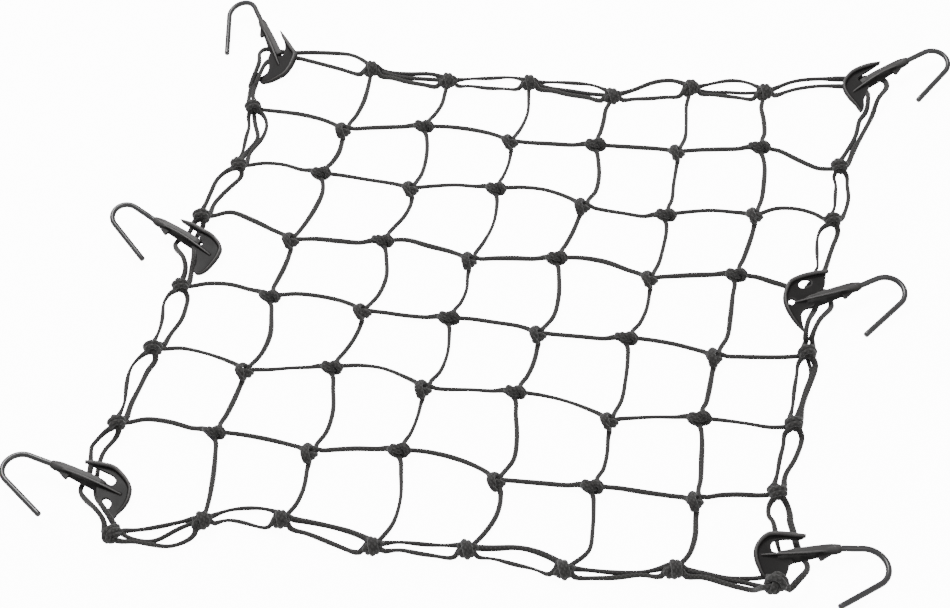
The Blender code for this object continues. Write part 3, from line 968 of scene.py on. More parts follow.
def belly(start: Points, end: Points, bow: tuple[float, ...], side: tuple[float, float],
          height: float) -> list[Points]:
    """Points inside a span that bellies out sideways.

    Args:
        start: Middle of the knot it leaves.
        end: Middle of the knot it reaches.
        bow: Belly at even shares of the span, or None where no point is wanted.
        side: Direction in plan of a positive belly.
        height: Height of the cord's centre.

    Returns:
        One point for each bow that isn't None.
    """
    made = []
    for n, out in enumerate(bow):
        if out is None:
            continue
        share = (n + 1) / (len(bow) + 1)
        place = start[:2] + (end[:2] - start[:2]) * share + np.array(side) * out
        made.append(np.array([place[0], place[1], height]))
    return made


def swung(one: Points, two: Points) -> float:
    """Angle in degrees from direction one to direction two, seen from above."""
    cross = one[0] * two[1] - one[1] * two[0]
    return math.degrees(math.atan2(cross, one[0] * two[0] + one[1] * two[1]))


def threaded(parts: list[Points], low: float) -> Points:
    """Run one smooth cord through knots and spans.

    Args:
        parts: Groups of points in order.
        low: Least height of the cord's centre.

    Returns:
        The points of the whole cord.
    """
    line = smooth_line(np.vstack(parts))
    line[:, 2] = np.maximum(line[:, 2], low)
    return line


def scatter(row: int, column: int) -> int:
    """Give a knot a whole number from -2 to 2, unlike its neighbours', so that no two lie alike."""
    return (row * 7 + column * 11) % 5 - 2


@dataclass
class MeshCords:
    """The twelve inner cords with the 36 crossing knots they are tied in."""

    radius: float = 1.38
    reach: float = 6.2
    lift: float = 3.0
    top_lift: float = 0.6
    lie: float = 2.3
    end_reach: float = 5.6
    end_lift: float = 2.9
    roll_step: float = 6.0
    uneven: float = 0.11
    over_swell: float = 0.3
    under_swell: float = 0.1
    knot: TightKnot = field(default_factory=lambda: TightKnot(1.35, 1.0, scale=1.24))
    near_on_top: KnotPose = KnotPose(-1, 225.0, KnotFace.COLUMN, 1.0, (-0.8, -1.7, 0))
    left_on_top: KnotPose = KnotPose(-1, 90.0, KnotFace.ROW, 0.9, (0.35, -0.5, 0))
    knots: dict = field(default_factory=dict)

    def pose(self, row: int, column: int) -> KnotPose:
        """Give the way a crossing's knot lies, which alternates along every cord."""
        return self.left_on_top if (row + column) % 2 else self.near_on_top

    def tie_knots(self) -> None:
        """Tie the crossing knot once and set it down, turned to its cords, at every crossing."""
        self.knot.tie()
        for row in range(1, 7):
            for column in range(1, 7):
                cords = self.knot.parted(self.pose(row, column), scatter(row, column) * self.roll_step)
                self.knots[row, column] = self._seat(cords, row, column)

    def _seat(self, cords: list[Points], row: int, column: int) -> list[Points]:
        """Turn a knot to follow its four cords and stand it on the floor.

        Args:
            cords: The knot's two cords, about the origin.
            row: Row of the crossing.
            column: Column of the crossing.

        Returns:
            The row cord from left to right and the column cord from near to far.
        """
        here, pose = knot_at(row, column), self.pose(row, column)
        lines = ((knot_at(row, column + 1) - here, (1, 0)), (here - knot_at(row, column - 1), (1, 0)),
                 (knot_at(row - 1, column) - here, (0, 1)), (here - knot_at(row + 1, column), (0, 1)))
        turn = 45 + sum(swung(plain, line) for line, plain in lines) / 4
        made = [turned(cord * pose.size, turn) for cord in cords]
        made.sort(key=lambda cord: cord[0][0] - cord[0][1])
        return [cord + here + KNOT_NUDGE + pose.nudge for cord in on_floor(made, self.radius)]

    def lines(self, ports: dict) -> list[Strand]:
        """Thread every cord through its knots.

        Args:
            ports: The border knots' pieces of each cord, keyed by row and column.

        Returns:
            One strand for each cord.
        """
        made = []
        for n in range(1, 7):
            made.append(self._line([(n, c) for c in range(8)], 0, ROW_BOW[n - 1], (0, 1), ports))
            made.append(self._line([(r, n) for r in range(7, -1, -1)], 1,
                                   [bow[::-1] for bow in COLUMN_BOW[n - 1][::-1]], (1, 0), ports))
        return made

    def _line(self, crossings: list[tuple[int, int]], which: int, bows: list, side: tuple[int, int],
              ports: dict) -> Strand:
        """Thread one cord.

        Args:
            crossings: The cord's knots in order.
            which: 0 for a row cord from left to right, 1 for a column cord from near to far.
            bows: Belly of each span.
            side: Direction of a positive belly.
            ports: The border knots' pieces.

        Returns:
            The whole strand.
        """
        parts, swells = [ports[crossings[0]]], []
        uneven = (sum(crossings[0]) * 3 % 5 - 2) * self.uneven
        for n, bow in enumerate(bows):
            here, after = knot_at(*crossings[n]), knot_at(*crossings[n + 1])
            inner = belly(here, after, bow, side, self.lie)
            if n > 0:
                parts.append(exit_point(here, inner[0], self.reach, self.lift))
            else:
                parts.append(exit_point(parts[0][0], inner[0], self.end_reach, self.end_lift))
            parts.append(np.array(inner))
            swells.append((inner[1], uneven, 15.0))
            if n < len(bows) - 1:
                on_top = self.pose(*crossings[n + 1]).top is (KnotFace.ROW, KnotFace.COLUMN)[which]
                height = self.lift + self.top_lift * on_top
                parts.append(exit_point(after, inner[-1], self.reach, height))
                swell = self.over_swell if on_top else self.under_swell
                swells += [(parts[-1][0], swell, 3.5), (after, self.under_swell, 4.0)]
                parts.append(self.knots[crossings[n + 1]][which])
        port = ports[crossings[-1]]
        parts += [exit_point(port[0], inner[-1], self.end_reach, self.end_lift), port[::-1]]
        line = threaded(parts, self.radius)
        return Strand(line, swollen(line, swells))


@dataclass(frozen=True)
class BorderSpan:
    """One span of the border: each strand's belly at a quarter, half and three quarters of it.

    A belly is None where a claw hides it. The thicknesses, as shares of the cord's own, are the
    outer, inner and third strand's; an elastic cord is thinner where it is drawn out. The run names
    the hook whose course starts the span, or ends it where run_last is set. The tail is one more
    point before the far end of the outer and of the inner strand.
    """

    edge: Edge
    outer: tuple
    inner: tuple
    thick: tuple = (1.0, 1.0, 1.0)
    third: tuple | None = None
    run: str | None = None
    run_last: bool = False
    tail: tuple | None = None

    @property
    def side(self) -> tuple[int, int]:
        """Direction in plan of a positive belly."""
        return (0, 1) if self.edge in (Edge.FAR, Edge.NEAR) else (1, 0)


# Clockwise from the far left corner. Bellies go towards +y on the far and near edges, +x on the sides.
BORDER = (
    BorderSpan(Edge.FAR, (10.3, 12.8, 13.4), (3.5, 0.7, -2.5), (0.85, 0.95), run="far_left"),
    BorderSpan(Edge.FAR, (1.6, 3.2, 6.4), (-2.9, -4.9, -4.9), (0.95, 1.0, 1.0), (-0.7, -0.8, 0.9)),
    BorderSpan(Edge.FAR, (4.8, 5.5, 7.1), (-2.1, -4.3, -4.3), (0.65, 0.68)),
    BorderSpan(Edge.FAR, (5.9, 8.1, 9.2), (-2.2, -3.6, -3.2), (0.65, 1.0, 0.95), (-0.1, 0.4, 0.7)),
    BorderSpan(Edge.FAR, (5.9, 12.1, 11.9), (-2.8, -4.1, -4.1), (0.95, 0.85)),
    BorderSpan(Edge.FAR, (7.6, 12.0, 11.0), (-2.4, -3.3, -4.4), (0.72, 0.8, 0.8), (-0.2, 0.5, 0.5)),
    BorderSpan(Edge.FAR, (14.4, 18.6, None), (6.0, 11.6, None), (0.85, 0.85)),
    BorderSpan(Edge.RIGHT, (6.0, 4.8, 3.7), (-0.5, 1.4, 0.0), (1.3, 1.0), run="far_right"),
    BorderSpan(Edge.RIGHT, (5.6, 7.8, 7.0), (-1.1, -0.4, 0.2), (0.85, 0.62)),
    BorderSpan(Edge.RIGHT, (4.3, 3.1, 2.4), (-6.6, -4.6, -2.0), (1.05, 0.62),
               tail=((184.6, 46.0, 1.8), (179.8, 45.5, 1.8))),
    BorderSpan(Edge.RIGHT, (None, None, 1.3), (None, None, -1.4), run="mid_right"),
    BorderSpan(Edge.RIGHT, (5.6, 3.9, 2.2), (-3.8, -3.6, -2.6), (1.2, 0.72, 0.8), (3.9, 2.6, 1.4)),
    BorderSpan(Edge.RIGHT, (6.2, 4.9, 1.5), (-3.1, -3.2, -2.4), (1.0, 0.8)),
    BorderSpan(Edge.RIGHT, (7.1, None, None), (-4.4, None, None), (1.3, 0.75), run="near_right",
               run_last=True),
    BorderSpan(Edge.NEAR, (2.7, 1.8, 1.5), (10.6, 5.4, 4.4), (1.0, 0.9, 0.9), (4.6, 3.6, 2.9)),
    BorderSpan(Edge.NEAR, (-2.6, -4.8, -5.1), (-0.9, -1.5, 0.1), (0.85, 0.8)),
    BorderSpan(Edge.NEAR, (-3.1, -2.7, -1.8), (7.9, 8.8, 4.6), (0.6, 1.25)),
    BorderSpan(Edge.NEAR, (-4.9, -3.2, -0.9), (2.8, 3.2, 4.2), (0.75, 0.65)),
    BorderSpan(Edge.NEAR, (-6.2, -4.6, -3.3), (5.6, 5.3, 4.0), (0.9, 1.15)),
    BorderSpan(Edge.NEAR, (-4.4, -0.5, 1.5), (8.6, 9.5, 8.1), (0.65, 0.68)),
    BorderSpan(Edge.NEAR, (-14.7, -11.3, -6.9), (2.7, 1.2, 0.9), (0.8, 0.8, 0.9), (-2.2, -8.9, -5.4)),
    BorderSpan(Edge.LEFT, (None, None, -16.5), (None, None, -7.9), (0.85, 0.9), run="near_left"),
    BorderSpan(Edge.LEFT, (-2.6, -6.9, -9.4), (1.2, 1.6, 1.7), (0.62, 1.15)),
    BorderSpan(Edge.LEFT, (-2.5, -4.1, -7.7), (4.8, 8.0, 6.9), (0.68, 0.95)),
    BorderSpan(Edge.LEFT, (None, None, None), (None, None, None), run="mid_left"),
    BorderSpan(Edge.LEFT, (-4.9, -7.2, -9.0), (0.1, 1.5, 4.6), (0.95, 0.95)),
    BorderSpan(Edge.LEFT, (-0.8, -1.2, -1.0), (4.0, 9.6, 10.8), (0.75, 0.8, 1.0), (1.7, 6.7, 2.7)),
    BorderSpan(Edge.LEFT, (-8.0, -9.9, -11.0), (-5.6, -7.3, -8.0), (0.95, 0.95)),
)


@dataclass(frozen=True)
class Course:
    """Course of both border strands past a claw, in the order the border travels.

    Each point is a place in plan and the height of the strand's middle there.
    """

    outer: tuple
    inner: tuple


COURSES = {
    "far_left": Course(
        ((-207.7, 159.3, 2.0), (-207.6, 167.0, 4.0), (-206.2, 178.3, 6.6), (-211.2, 193.2, 3.0),
         (-209.5, 199.2, 1.8), (-202.8, 198.1, 1.5), (-193.9, 196.6, 1.5), (-185.2, 197.7, 1.5)),
        ((-204.4, 160.3, 2.0), (-203.2, 173.1, 5.8), (-202.6, 186.1, 3.0), (-197.9, 191.0, 1.5),
         (-191.1, 191.8, 1.5), (-183.8, 192.9, 1.5))),
    "far_right": Course(
        ((173.3, 215.0, 1.5), (182.4, 216.7, 1.5), (191.6, 218.8, 1.5), (199.4, 217.1, 2.5),
         (202.3, 209.0, 4.0), (198.1, 192.8, 7.0), (196.4, 184.6, 2.4)),
        ((174.2, 208.3, 1.5), (182.8, 208.0, 1.5), (189.6, 204.3, 3.0), (192.4, 190.5, 7.0),
         (192.1, 183.8, 2.0))),
    "mid_right": Course(
        ((188.6, 24.4, 3.0), (191.8, 19.0, 3.5), (193.0, 12.6, 5.0), (188.3, -2.1, 10.0),
         (185.9, -10.6, 8.6), (185.0, -15.0, 5.5)),
        ((184.4, 22.0, 3.0), (184.4, 15.6, 3.2), (183.4, 7.6, 5.0), (181.9, -5.2, 10.4),
         (181.6, -11.6, 8.8), (181.8, -15.4, 5.5))),
    "near_right": Course(
        ((190.7, -141.8, 2.0), (194.9, -152.8, 3.0), (198.3, -163.2, 4.0), (202.8, -170.7, 5.0),
         (206.1, -175.6, 6.0), (202.0, -187.3, 9.3)),
        ((181.7, -143.2, 2.0), (185.2, -153.7, 3.0), (188.4, -164.8, 4.0), (192.0, -172.8, 5.5),
         (192.0, -178.0, 6.5))),
    "near_left": Course(
        ((-178.8, -203.7, 3.0), (-184.2, -199.3, 7.1), (-195.3, -190.0, 3.0), (-201.9, -183.5, 2.0),
         (-202.0, -177.4, 1.5), (-200.7, -172.8, 1.5), (-201.2, -166.3, 1.5), (-203.9, -160.0, 1.5),
         (-206.2, -152.1, 1.5)),
        ((-181.9, -196.3, 7.2), (-190.4, -186.9, 3.0), (-194.1, -177.7, 1.5), (-196.0, -170.5, 1.5),
         (-197.8, -161.9, 1.5), (-198.2, -154.5, 1.5))),
    "mid_left": Course(
        ((-195.4, -10.5, 3.4), (-198.2, -3.8, 8.0), (-206.8, 6.2, 3.4), (-211.2, 12.6, 2.0),
         (-208.9, 17.6, 1.5), (-205.8, 21.1, 1.5), (-204.2, 26.2, 1.5)),
        ((-192.5, -9.3, 3.0), (-192.6, -2.1, 7.7), (-198.5, 13.2, 2.0), (-199.4, 21.5, 1.5),
         (-199.1, 27.0, 1.5))),
}


@dataclass
class BorderKnot:
    """A knot of the border: its strands in the direction of travel, and the mesh cord it takes in.

    The numbers say which of its strands is the outer one where the border arrives and leaves.
    """

    strands: list[Points]
    mesh_cord: Points | None
    arrive_outer: int
    leave_outer: int


@dataclass
class BorderCords:
    """The doubled, in places tripled, border cord with its knots and its course past the claws."""

    radius: float = 1.48
    reach: float = 6.6
    lie: float = 1.8
    raised: float = 9.05  # height of the near right claw's top, on which its knot lies
    rise: float = 2.4  # from a knot's base to the strands that leave it
    drop: float = 2.2  # from the raised knot's base to the strands that come up to it
    wide: float = 2.9
    narrow: float = 1.9
    roll_step: float = 7.0
    ball_reach: float = 6.0
    ease_length: float = 4.0  # past the ball's reach, over which the cord gets its free form
    port_lift: float = 3.9  # of the mesh cord's end within a border knot
    port_depth: float = 0.5
    left_port: float = 1.2
    third_inside: float = 3.0
    third_rise: float = 2.4
    third_lift: float = 6.0
    swell_length: float = 9.0
    run_swell: float = 0.16
    knot_swell: float = 0.25
    thinnest: float = 0.6
    thickest: float = 1.3
    knot: TightKnot = field(default_factory=lambda: TightKnot(1.6, 1.2, scale=1.15, ball=4.6))
    level: KnotPose = KnotPose(1, 225.0)
    upright: KnotPose = KnotPose(1, 15.0)
    knots: dict = field(default_factory=dict)

    @staticmethod
    def stations() -> list[tuple[int, int]]:
        """Give the border's knots and corners in order, clockwise from the far left corner."""
        ring = [(0, n) for n in range(8)] + [(n, 7) for n in range(1, 8)]
        return ring + [(7, n) for n in range(6, -1, -1)] + [(n, 0) for n in range(6, -1, -1)]

    def tie_knots(self) -> None:
        """Tie the border knot once and set it down all round."""
        self.knot.tie()
        ring = self.stations()
        for n, (row, column) in enumerate(ring):
            if (row, column) in UNKNOTTED:
                continue
            before, after = knot_at(*ring[n - 1]), knot_at(*ring[(n + 1) % len(ring)])
            pose = self.level if row in (0, 7) else self.upright
            line = before - after if row == 7 or column == 7 else after - before
            turn = math.degrees(math.atan2(line[1], line[0]))
            if (row, column) in (NEAR_LEFT, NEAR_RIGHT):
                turn = 45.0 if column == 7 else -45.0
            parted = self.knot.parted(pose, scatter(row, column) * self.roll_step)
            self.knots[row, column] = self._seat([turned(cord, turn) for cord in parted], n, row, column)

    def _seat(self, cords: list[Points], n: int, row: int, column: int) -> BorderKnot:
        """Set a knot down and find which cord lies outward at each side.

        Args:
            cords: The knot's two cords, about the origin.
            n: Its place in the ring.
            row: Row of the knot.
            column: Column of the knot.

        Returns:
            The knot in place.
        """
        ring = self.stations()
        travel = knot_at(*ring[(n + 1) % len(ring)]) - knot_at(*ring[n - 1])
        outward = np.array([-travel[1], travel[0], 0]) / np.linalg.norm(travel)
        base = self.raised if (row, column) == NEAR_RIGHT else 0.0
        made = [cord + tied_at(row, column) for cord in on_floor(cords, self.radius, base)]
        if (made[0][-1] - made[0][0]) @ travel < 0:
            made = [cord[::-1] for cord in made]
        arrive = int(np.argmax([cord[0] @ outward for cord in made]))
        leave = int(np.argmax([cord[-1] @ outward for cord in made]))
        mesh_cord = None
        if (row, column) not in (NEAR_LEFT, NEAR_RIGHT):
            port = (0, self.left_port * (column == 0), self.port_lift)
            mesh_cord = np.array([tied_at(row, column) - outward * self.port_depth + port])
        return BorderKnot(made, mesh_cord, arrive, leave)

    def _span(self, n: int, outer: bool) -> Points:
        """Lay one strand of a span, without the knots at its ends.

        Args:
            n: Which span, clockwise from the far left corner.
            outer: True for the outer strand.

        Returns:
            The points between the two knots.
        """
        ring, span = self.stations(), BORDER[n]
        lane = 0 if outer else 1
        start, end = knot_at(*ring[n]), knot_at(*ring[(n + 1) % len(ring)])
        shown = belly(start, end, (span.outer, span.inner)[lane], span.side, self.lie)
        if span.tail:
            shown.append(np.array(span.tail[lane]))
        if span.run is None:
            return np.array(shown)
        course = (COURSES[span.run].outer, COURSES[span.run].inner)[lane]
        return np.vstack([*shown, *course] if span.run_last else [*course, *shown])

    def lines(self) -> list[Strand]:
        """Thread the strands right round, changing places in each knot.

        Returns:
            The closed strands, then the short third ones.
        """
        ring = self.stations()
        left = {(n, outer) for n in range(len(BORDER)) for outer in (True, False)}
        made = []
        while left:
            n, outer = min(left)
            parts, swells = [], []
            while (n, outer) in left:
                left.remove((n, outer))
                span = self._span(n, outer)
                if ring[n] in self.knots:
                    parts.append(self._exit(ring[n], span[0], outer, True))
                parts.append(span)
                share = BORDER[n].thick[0 if outer else 1] - 1
                ends = (0, -1) if len(span) < 4 else (0, 3, -1)
                swells += [(span[k], share, self.swell_length) for k in ends]
                if BORDER[n].run:
                    swells += [(point, self.run_swell, 6.0) for point in span[:-3:2]]
                n = (n + 1) % len(ring)
                knot = self.knots.get(ring[n])
                if knot is None:
                    continue
                parts.append(self._exit(ring[n], span[-1], outer, False))
                lane = knot.arrive_outer if outer else 1 - knot.arrive_outer
                parts.append(knot.strands[lane])
                outer = lane == knot.leave_outer
            made.append(self._closed(np.vstack(parts), swells))
        return made + self._thirds()

    def _exit(self, place: tuple[int, int], towards: Points, outer: bool, leaving: bool) -> Points:
        """Point where a strand leaves its knot, apart on the knot's wide side.

        Args:
            place: Row and column of the knot.
            towards: The point of the span next to the knot.
            outer: True for the outer strand.
            leaving: True on the side the border travels to.

        Returns:
            One point, as a row of its own.
        """
        row, column = place
        height = self.rise
        if place == NEAR_RIGHT:
            height = self.raised + (self.rise if leaving else -self.drop)
        apart = self.wide if leaving == (row == 7 or column == 7) else self.narrow
        aside = apart if outer == leaving else -apart
        return exit_point(tied_at(row, column), towards, self.reach, height, aside)

    def _closed(self, points: Points, swells: list) -> Strand:
        """Smooth a ring of points with no visible start.

        Args:
            points: The ring's points.
            swells: Where the strand is thick or thin.

        Returns:
            The closed strand.
        """
        wrapped = np.vstack([points[-2:], points, points[:3]])
        before, after = len(smooth_line(wrapped[:3])) - 1, len(smooth_line(wrapped[-3:])) - 1
        whole = threaded([wrapped], self.radius)[before:-after]
        middles = np.array([knot_at(*place) for place in self.knots])[:, :2]
        away = np.linalg.norm(whole[:, None, :2] - middles[None], axis=2).min(axis=1)
        past = (away - self.ball_reach) / self.ease_length
        for _ in range(3):
            eased = 0.25 * np.roll(whole, 1, axis=0) + 0.5 * whole + 0.25 * np.roll(whole, -1, axis=0)
            whole = whole + (eased - whole) * np.clip(past, 0, 1)[:, None]
        by_knot = self.knot_swell * np.exp(-np.maximum(past, 0) ** 2)
        thick = np.clip(swollen(whole, swells) + by_knot, self.thinnest, self.thickest)
        whole[:, 2] = np.maximum(whole[:, 2], self.radius * thick)
        return Strand(whole, thick, True)

    def _thirds(self) -> list[Strand]:
        """Lay the short third strands, each from inside one knot to inside the next.

        Returns:
            One strand for each.
        """
        ring, made = self.stations(), []
        for n, span in enumerate(BORDER):
            if span.third is None:
                continue
            start, end = knot_at(*ring[n]), knot_at(*ring[(n + 1) % len(ring)])
            if ring[n] == NEAR_RIGHT:
                start = tied_at(*NEAR_RIGHT) + (0, 0, self.third_lift)
            inside = (end - start) / np.linalg.norm(end - start) * self.third_inside
            rise = np.array([0, 0, self.third_rise * self.radius])
            points = [start + inside + rise, *belly(start, end, span.third, span.side, self.lie),
                      end - inside + rise]
            line = threaded([np.array(points)], self.radius)
            made.append(Strand(line, np.full(len(line), span.thick[2])))
        return made


# ---------------------------------------------------------------- wires
@dataclass(frozen=True)
class WireBend:
    """How one hook's wire is bent: where its round bend is, how far it turns, its leg and its set.

    The set is how far the wire is rolled, swung and pitched out of line with its claw, in degrees.
    """

    bend_x: float
    bend_y: float
    turn: float
    leg: float
    roll: float
    swing: float
    pitch: float


WIRE_BENDS = {
    "far_left": WireBend(58.4, 8.1, 158.0, 31.4, -2.9, -1.8, 0.1),
    "mid_left": WireBend(58.4, 7.5, 162.2, 29.5, -0.9, -0.4, 11.0),
    "near_left": WireBend(58.1, 8.9, 156.4, 31.5, 2.1, 1.2, -0.7),
    "far_right": WireBend(56.0, 8.5, 159.5, 28.0, -6.6, 0.6, -0.2),
    "mid_right": WireBend(55.0, 9.4, 160.0, 30.5, 0.5, -4.0, 3.0),
    "near_right": WireBend(55.3, 10.7, 150.0, 27.5, 6.8, 5.6, -4.5),
}


@dataclass
class HookWire:
    """The coated wire of one hook: a straight end in the claw, a round bend and a free leg."""

    hook: HookPlace
    bend: WireBend
    radius: float = 1.7
    start: float = 32.0
    mouth: float = 43.0
    ease: float = 6.0  # length past the mouth over which the wire takes its set
    axis_y: float = -1.3

    def path(self) -> Points:
        """Give the wire's centre line in the hook's own frame.

        Returns:
            Its points from the end inside the claw to the free end.
        """
        shape, size = self.bend, self.bend.bend_y - self.axis_y
        points = [(x, self.axis_y, 0.0) for x in np.linspace(self.start, shape.bend_x, 10)[:-1]]
        for angle in np.radians(np.linspace(0, shape.turn, 25)):
            points.append((shape.bend_x + size * math.sin(angle),
                           shape.bend_y - size * math.cos(angle), 0.0))
        end, heading = points[-1], math.radians(shape.turn)
        for length in np.linspace(3, shape.leg, 9):
            points.append((end[0] + length * math.cos(heading), end[1] + length * math.sin(heading), 0.0))
        line = np.array(points)
        mouth = np.array([self.mouth, self.axis_y, 0.0])
        turn = np.array((Matrix.Rotation(math.radians(shape.swing), 3, "Z")
                         @ Matrix.Rotation(math.radians(-shape.pitch), 3, "Y")
                         @ Matrix.Rotation(math.radians(shape.roll), 3, "X")))
        outside = np.clip((line[:, 0] - self.mouth) / self.ease, 0, 1)
        outside[len(line) // 2:] = 1.0
        return line + ((line - mouth) @ turn.T + mouth - line) * outside[:, None]

    def build(self) -> bpy.types.Object:
        """Make and dress the wire.

        Returns:
            The finished piece.
        """
        points = self.hook.placed(self.path())
        finish = CoatFinish()
        made = CordMaker(self.radius, 24, finish).mesh("hook_wire_" + self.hook.name, [Strand(points)])
        piece = plain_piece("hook_wire_" + self.hook.name, made, finish.material())
        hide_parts("wire_" + self.hook.name)
        return piece


# ---------------------------------------------------------------- claws
@dataclass(frozen=True)
class ClawForm:
    """One claw's outline in its hook's own plan.

    The fin's tip comes first. The outer line runs from the horn's tip round the back to the fluke's
    tip, the fluke line back to the beam, and the horn line from the beam out to the horn's tip.
    The holes are windows in the plate, and a blunt horn has a thicker tip.
    """

    fin: tuple
    outer: tuple
    fluke: tuple
    horn: tuple
    holes: tuple = ()
    blunt: bool = False


CLAW_FORMS = {
    "far_left": ClawForm(
        (0.3, 1.9),
        ((26.5, -10), (16.1, -11.3), (9.2, -11.9), (2.2, -12), (-3.5, -7.6),
         (-6.8, -3.7), (-9.3, 1.1), (-9.6, 6.2), (-9, 12.2), (-6.2, 17.8)),
        ((-1.9, 17.7), (-1.2, 15.1), (-0.6, 11.4), (3.4, 8.4), (8.6, 7.4), (14, 3)),
        ((7.0, -1.4), (7.5, -3.8), (11.5, -6.6), (15.4, -8.0), (21.1, -8.8))),
    "mid_left": ClawForm(
        (-1.9, 2.5),
        ((29.4, -9.4), (21.2, -11.1), (13, -11.1), (4.8, -10.7), (-4.6, -6.1),
         (-7, 0.1), (-7.4, 5.8), (-7, 12.1), (-5.5, 16.1), (-3, 17.9)),
        ((-1.1, 17.5), (1.6, 14.9), (4.5, 10.5), (7.6, 5.9), (12, 3)),
        ((6.8, -2.3), (9.0, -2.8), (11.8, -4.7), (13.4, -7.9), (17.6, -8.1), (23.1, -8.6))),
    "near_left": ClawForm(
        (-2.6, 0.6),
        ((26.7, -10.2), (22.5, -11.9), (16.4, -13.4), (9.8, -14.2), (2.9, -12.0),
         (-5, -6.8), (-7.5, -1.8), (-8.5, 3), (-8.1, 7.9), (-7, 11.9)),
        ((-6.3, 15.4), (-1.1, 14.7), (4.0, 12.3), (8.5, 8.0), (12, 3.4)),
        ((13.2, -3.2), (5.6, -2.7), (4.5, -5.3), (6.7, -7.9), (16.7, -9.0), (22.2, -9.6)),
        (((3.9, 5.7), (1.4, 6.2), (-0.3, 7.8), (-0.5, 11.0), (1.2, 11.3), (3.7, 9.6), (5.4, 7.4)),),
        True),
    "far_right": ClawForm(
        (0.7, 2.3),
        ((28.4, -8.8), (22.8, -10.9), (18.4, -12.1), (8.3, -12.5),
         (-0.2, -8.1), (-3.2, -3), (-4.1, 4.1), (-3.7, 11), (-3.7, 17.9)),
        ((0.0, 16.0), (3.8, 10.3), (6.9, 7.5), (12, 3)),
        ((9.6, -1.4), (9.2, -5.4), (12.9, -6.9), (19.9, -7.7), (25.5, -8.5))),
    "mid_right": ClawForm(
        (2.5, -2.3),
        ((29.9, -16.6), (21.5, -18.3), (12, -18.7), (5.4, -17.4), (1.3, -13.8),
         (-2.4, -8.3), (-4, -1.9), (-4, 4.4), (-3.2, 10), (-1.7, 15.1)),
        ((-0.7, 17.3), (0.4, 13.1), (1.9, 8.1), (3.3, 5.5), (6.4, 3.5), (12, 3)),
        ((16.0, -3.2), (23.8, -7.4), (26.7, -12.5), (28.9, -16.2)),
        (((9.8, -13.3), (11.4, -15.0), (13.9, -15.7), (16.7, -14.9), (17.7, -12.5), (15.9, -10.4),
          (12.0, -10.1), (9.9, -11.3)),
         ((2.0, -5.7), (3.3, -4.4), (2.4, -2.5), (0.2, -1.8), (-0.9, -3.4), (0.0, -5.3))), True),
    "near_right": ClawForm(
        (0.9, -3),
        ((26.9, -11.2), (22.6, -12.5), (17.6, -14.0), (12.2, -15.3), (7, -15.5), (2.2, -12.7),
         (-1.8, -7.8), (-2.9, -1.9), (-2.4, 3.0), (-1.0, 8.6), (2.2, 12)),
        ((6.0, 13.6), (10.5, 11.3), (13.2, 7.8), (14.7, 4.6), (17, 3)),
        ((9.2, -3.8), (7.4, -4.7), (7.6, -8.6), (9.3, -10.4), (13.7, -10.8), (20.7, -10.0),
         (24.4, -9.6)), (), True),
}


